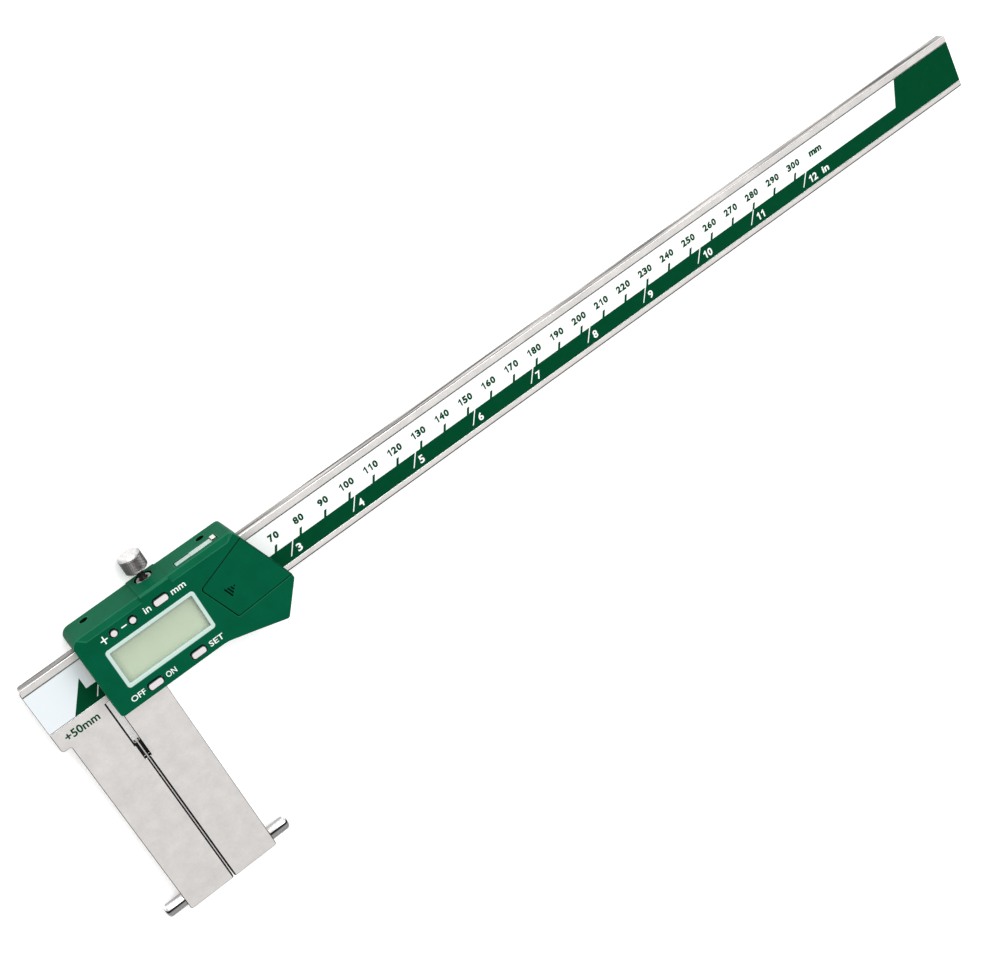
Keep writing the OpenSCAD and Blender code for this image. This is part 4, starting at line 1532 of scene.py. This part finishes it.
@dataclass
class Casing:
    """Green casing with its lettering, buttons, battery cover and data port."""

    edge: float = 0.22
    cover_edge: float = 0.2
    cap_edge: float = 0.26
    front: float = 9.7
    ink: float = 0.014
    cap_h: float = 2.05
    row_up: float = 15.15
    row_low: float = -7.35

    def build(self) -> None:
        """Build and dress the casing and what it carries."""
        dress_copy("housing", self.edge, GREEN_CASE, SLIDER, GREEN_EDGE, segments=3, spare=self._kept_sharp)
        dress_copy("battery_cover", self.cover_edge, GREEN_CASE, "battery_cover_body", COVER_EDGE,
                   spare=self._arrow_or_inside)
        for name in ("plus", "minus", "in_mm", "on_off", "set"):
            dress_copy(f"button_{name}", self.cap_edge, BUTTON_CAP, f"button_{name}_body", BUTTON_EDGE,
                       segments=3, angle=40, spare=lambda p: p.z < 9)
        self._lettering()
        dress_copy("port_strip", 0.06, PORT_STEEL, SLIDER)
        dress_copy("port_block", 0.12, CONTACT, SLIDER)

    @staticmethod
    def _arrow_or_inside(p: Vector) -> bool:
        """Tell whether an edge of the cover lies under it or at the sunk arrow.

        Args:
            p: middle of the edge in datum millimetres.

        Returns:
            True where the edge stays sharp.
        """
        return p.z < 9.2 or abs(p.x - 50.3) < 3.5 and abs(p.y - 4.0) < 3.5

    @staticmethod
    def _kept_sharp(p: Vector) -> bool:
        """Tell whether an edge of the casing lies inside it or at the soft foot of the boss.

        Args:
            p: middle of the edge in datum millimetres.

        Returns:
            True where the edge stays sharp.
        """
        inside = p.z < 8.9 and -2.5 < p.x < 58 and -9.5 < p.y < 18.3
        boss_foot = p.y > 14 and 4.4 < abs(p.x - SCREW_AXIS[0]) < 6.6
        return inside or boss_foot

    def _lettering(self) -> None:
        """Print the words beside the buttons."""
        low, high = self.front, self.front + self.ink
        up, down, cap = self.row_up, self.row_low, self.cap_h
        words = Lettering("casing_words", low, high, 0.01)
        for text, x, y, height, width in (
                ("in", 24.8, up + 0.1, 2.3, 2.3), ("mm", 36.4, up - 0.25, 1.6, 5.2),
                ("OFF", 7.6, down + 0.1, cap, 5.2), ("ON", 20.0, down + 0.05, cap, 3.7),
                ("SET", 37.4, down - 0.1, cap, 5.3)):
            words.word(text, x, y, height, width)
        settle(words.piece(), CASE_INK, SLIDER)
        stroke, plus_x, minus_x, sign_y = 0.42, 8.7, 16.1, 15.1
        signs = plates("plus_and_minus_signs", [
            bar(plus_x, sign_y, 2.5, stroke), bar(plus_x, sign_y + 0.835, stroke, 1.25),
            bar(plus_x, sign_y - 0.835, stroke, 1.25), bar(minus_x, sign_y, 2.0, stroke)], low, high)
        settle(signs, CASE_INK, SLIDER)


@dataclass
class Display:
    """Display frame, pane and cell."""

    edge: float = 0.18

    def build(self) -> None:
        """Build and dress the display."""
        dress_copy("lcd_bezel", self.edge, PALE_FRAME, SLIDER, segments=3)
        dress_node("lcd_window", PANE)
        dress_node("lcd_panel", CELL_GLASS)


@dataclass
class Electronics:
    """Board, chip, contact rubber, key mats and battery bay inside the casing."""

    def build(self) -> None:
        """Dress the inner pieces."""
        for node, finish in (
                ("circuit_board", BOARD), ("controller_chip", BLACK_CASE), ("zebra_upper", ZEBRA),
                ("zebra_lower", ZEBRA), ("key_mat_upper", SILICONE), ("key_mat_lower", SILICONE),
                ("battery_holder", BLACK_CASE), ("battery_contact_positive", CONTACT),
                ("battery_contact_negative", CONTACT)):
            dress_node(node, finish)
        dress_copy("coin_cell", 0.15, CELL_STEEL, SLIDER)


@dataclass
class Studio:
    """Pale floor, soft lights and the photograph's camera."""

    focal: float = 64.8
    camera_at: Place = (-0.188447, 0.277275, 0.538271)
    tilt: Place = (0.4599749, 0.2905709, 0.5013731)

    def build(self) -> None:
        """Set the floor, the light and the camera."""
        self._floor()
        self._sky()
        self._lamp("high_softbox", (0.35, 0.55, 1.1), (0.0, 0.0, 0.0), 0.9, 9.0)
        self._lamp("low_side_softbox", (-0.1, 1.15, 0.35), (-0.1, 0.0, 0.0), 0.8, 8.0)
        self._camera()
        bpy.context.scene.view_settings.view_transform = "Standard"

    def _floor(self) -> None:
        """Lay the floor."""
        form = bmesh.new()
        bmesh.ops.create_grid(form, x_segments=8, y_segments=8, size=3.0)
        floor = formed("floor", form)
        floor.data.materials.append(material_of(SWEEP))

    def _sky(self) -> None:
        """Light the room: bright above, greyer at the horizon."""
        world = bpy.data.worlds.new("studio")
        bpy.context.scene.world = world
        world.use_nodes = True
        tree = NodeCalls(world.node_tree)
        height = tree.split(tree.add("ShaderNodeTexCoord").outputs["Generated"])[2]
        ramp = tree.add("ShaderNodeValToRGB", {0: height})
        horizon, above = ramp.color_ramp.elements
        horizon.color = (0.5, 0.5, 0.51, 1)
        above.color = (0.95, 0.95, 0.95, 1)
        above.position = 0.7
        background = tree.nodes["Background"]
        tree.links.new(ramp.outputs[0], background.inputs[0])
        background.inputs[1].default_value = 0.82

    @staticmethod
    def _lamp(name: str, place: Place, aim: Place, size: float, power: float) -> None:
        """Hang a square softbox.

        Args:
            name: name of the lamp.
            place: its place in metres.
            aim: the point that it faces.
            size: length of a side.
            power: watts.
        """
        data = bpy.data.lights.new(name, "AREA")
        data.size = size
        data.energy = power
        lamp = new_object(name, data)
        lamp.location = place
        lamp.rotation_euler = (Vector(aim) - Vector(place)).to_track_quat("-Z", "Y").to_euler()

    def _camera(self) -> None:
        """Stand the camera where the photograph was taken."""
        data = bpy.data.cameras.new("photo_camera")
        data.lens = self.focal
        data.sensor_width = 36.0
        camera = new_object("photo_camera", data)
        rx, ry, rz = self.tilt
        turn = Matrix.Rotation(rz, 3, "Z") @ Matrix.Rotation(rx, 3, "X") @ Matrix.Rotation(ry, 3, "Y")
        camera.matrix_world = Matrix.Translation(self.camera_at) @ turn.transposed().to_4x4()
        bpy.context.scene.camera = camera


def corners(box: Sequence[Vector]) -> List[List[float]]:
    """Give a box as plain lists."""
    return [[float(v) for v in corner] for corner in box]


def main() -> None:
    """Build every sub-assembly in order."""
    logging.basicConfig(level=logging.INFO, format="%(name)s: %(message)s")
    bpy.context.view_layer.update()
    for part in (Beam(), ContactPins(), PrintedScale(), Slider(), Casing(), Display(), Electronics(),
                 Studio()):
        log.info("building %s", type(part).__name__)
        part.build()


if __name__ == "__main__":
    main()
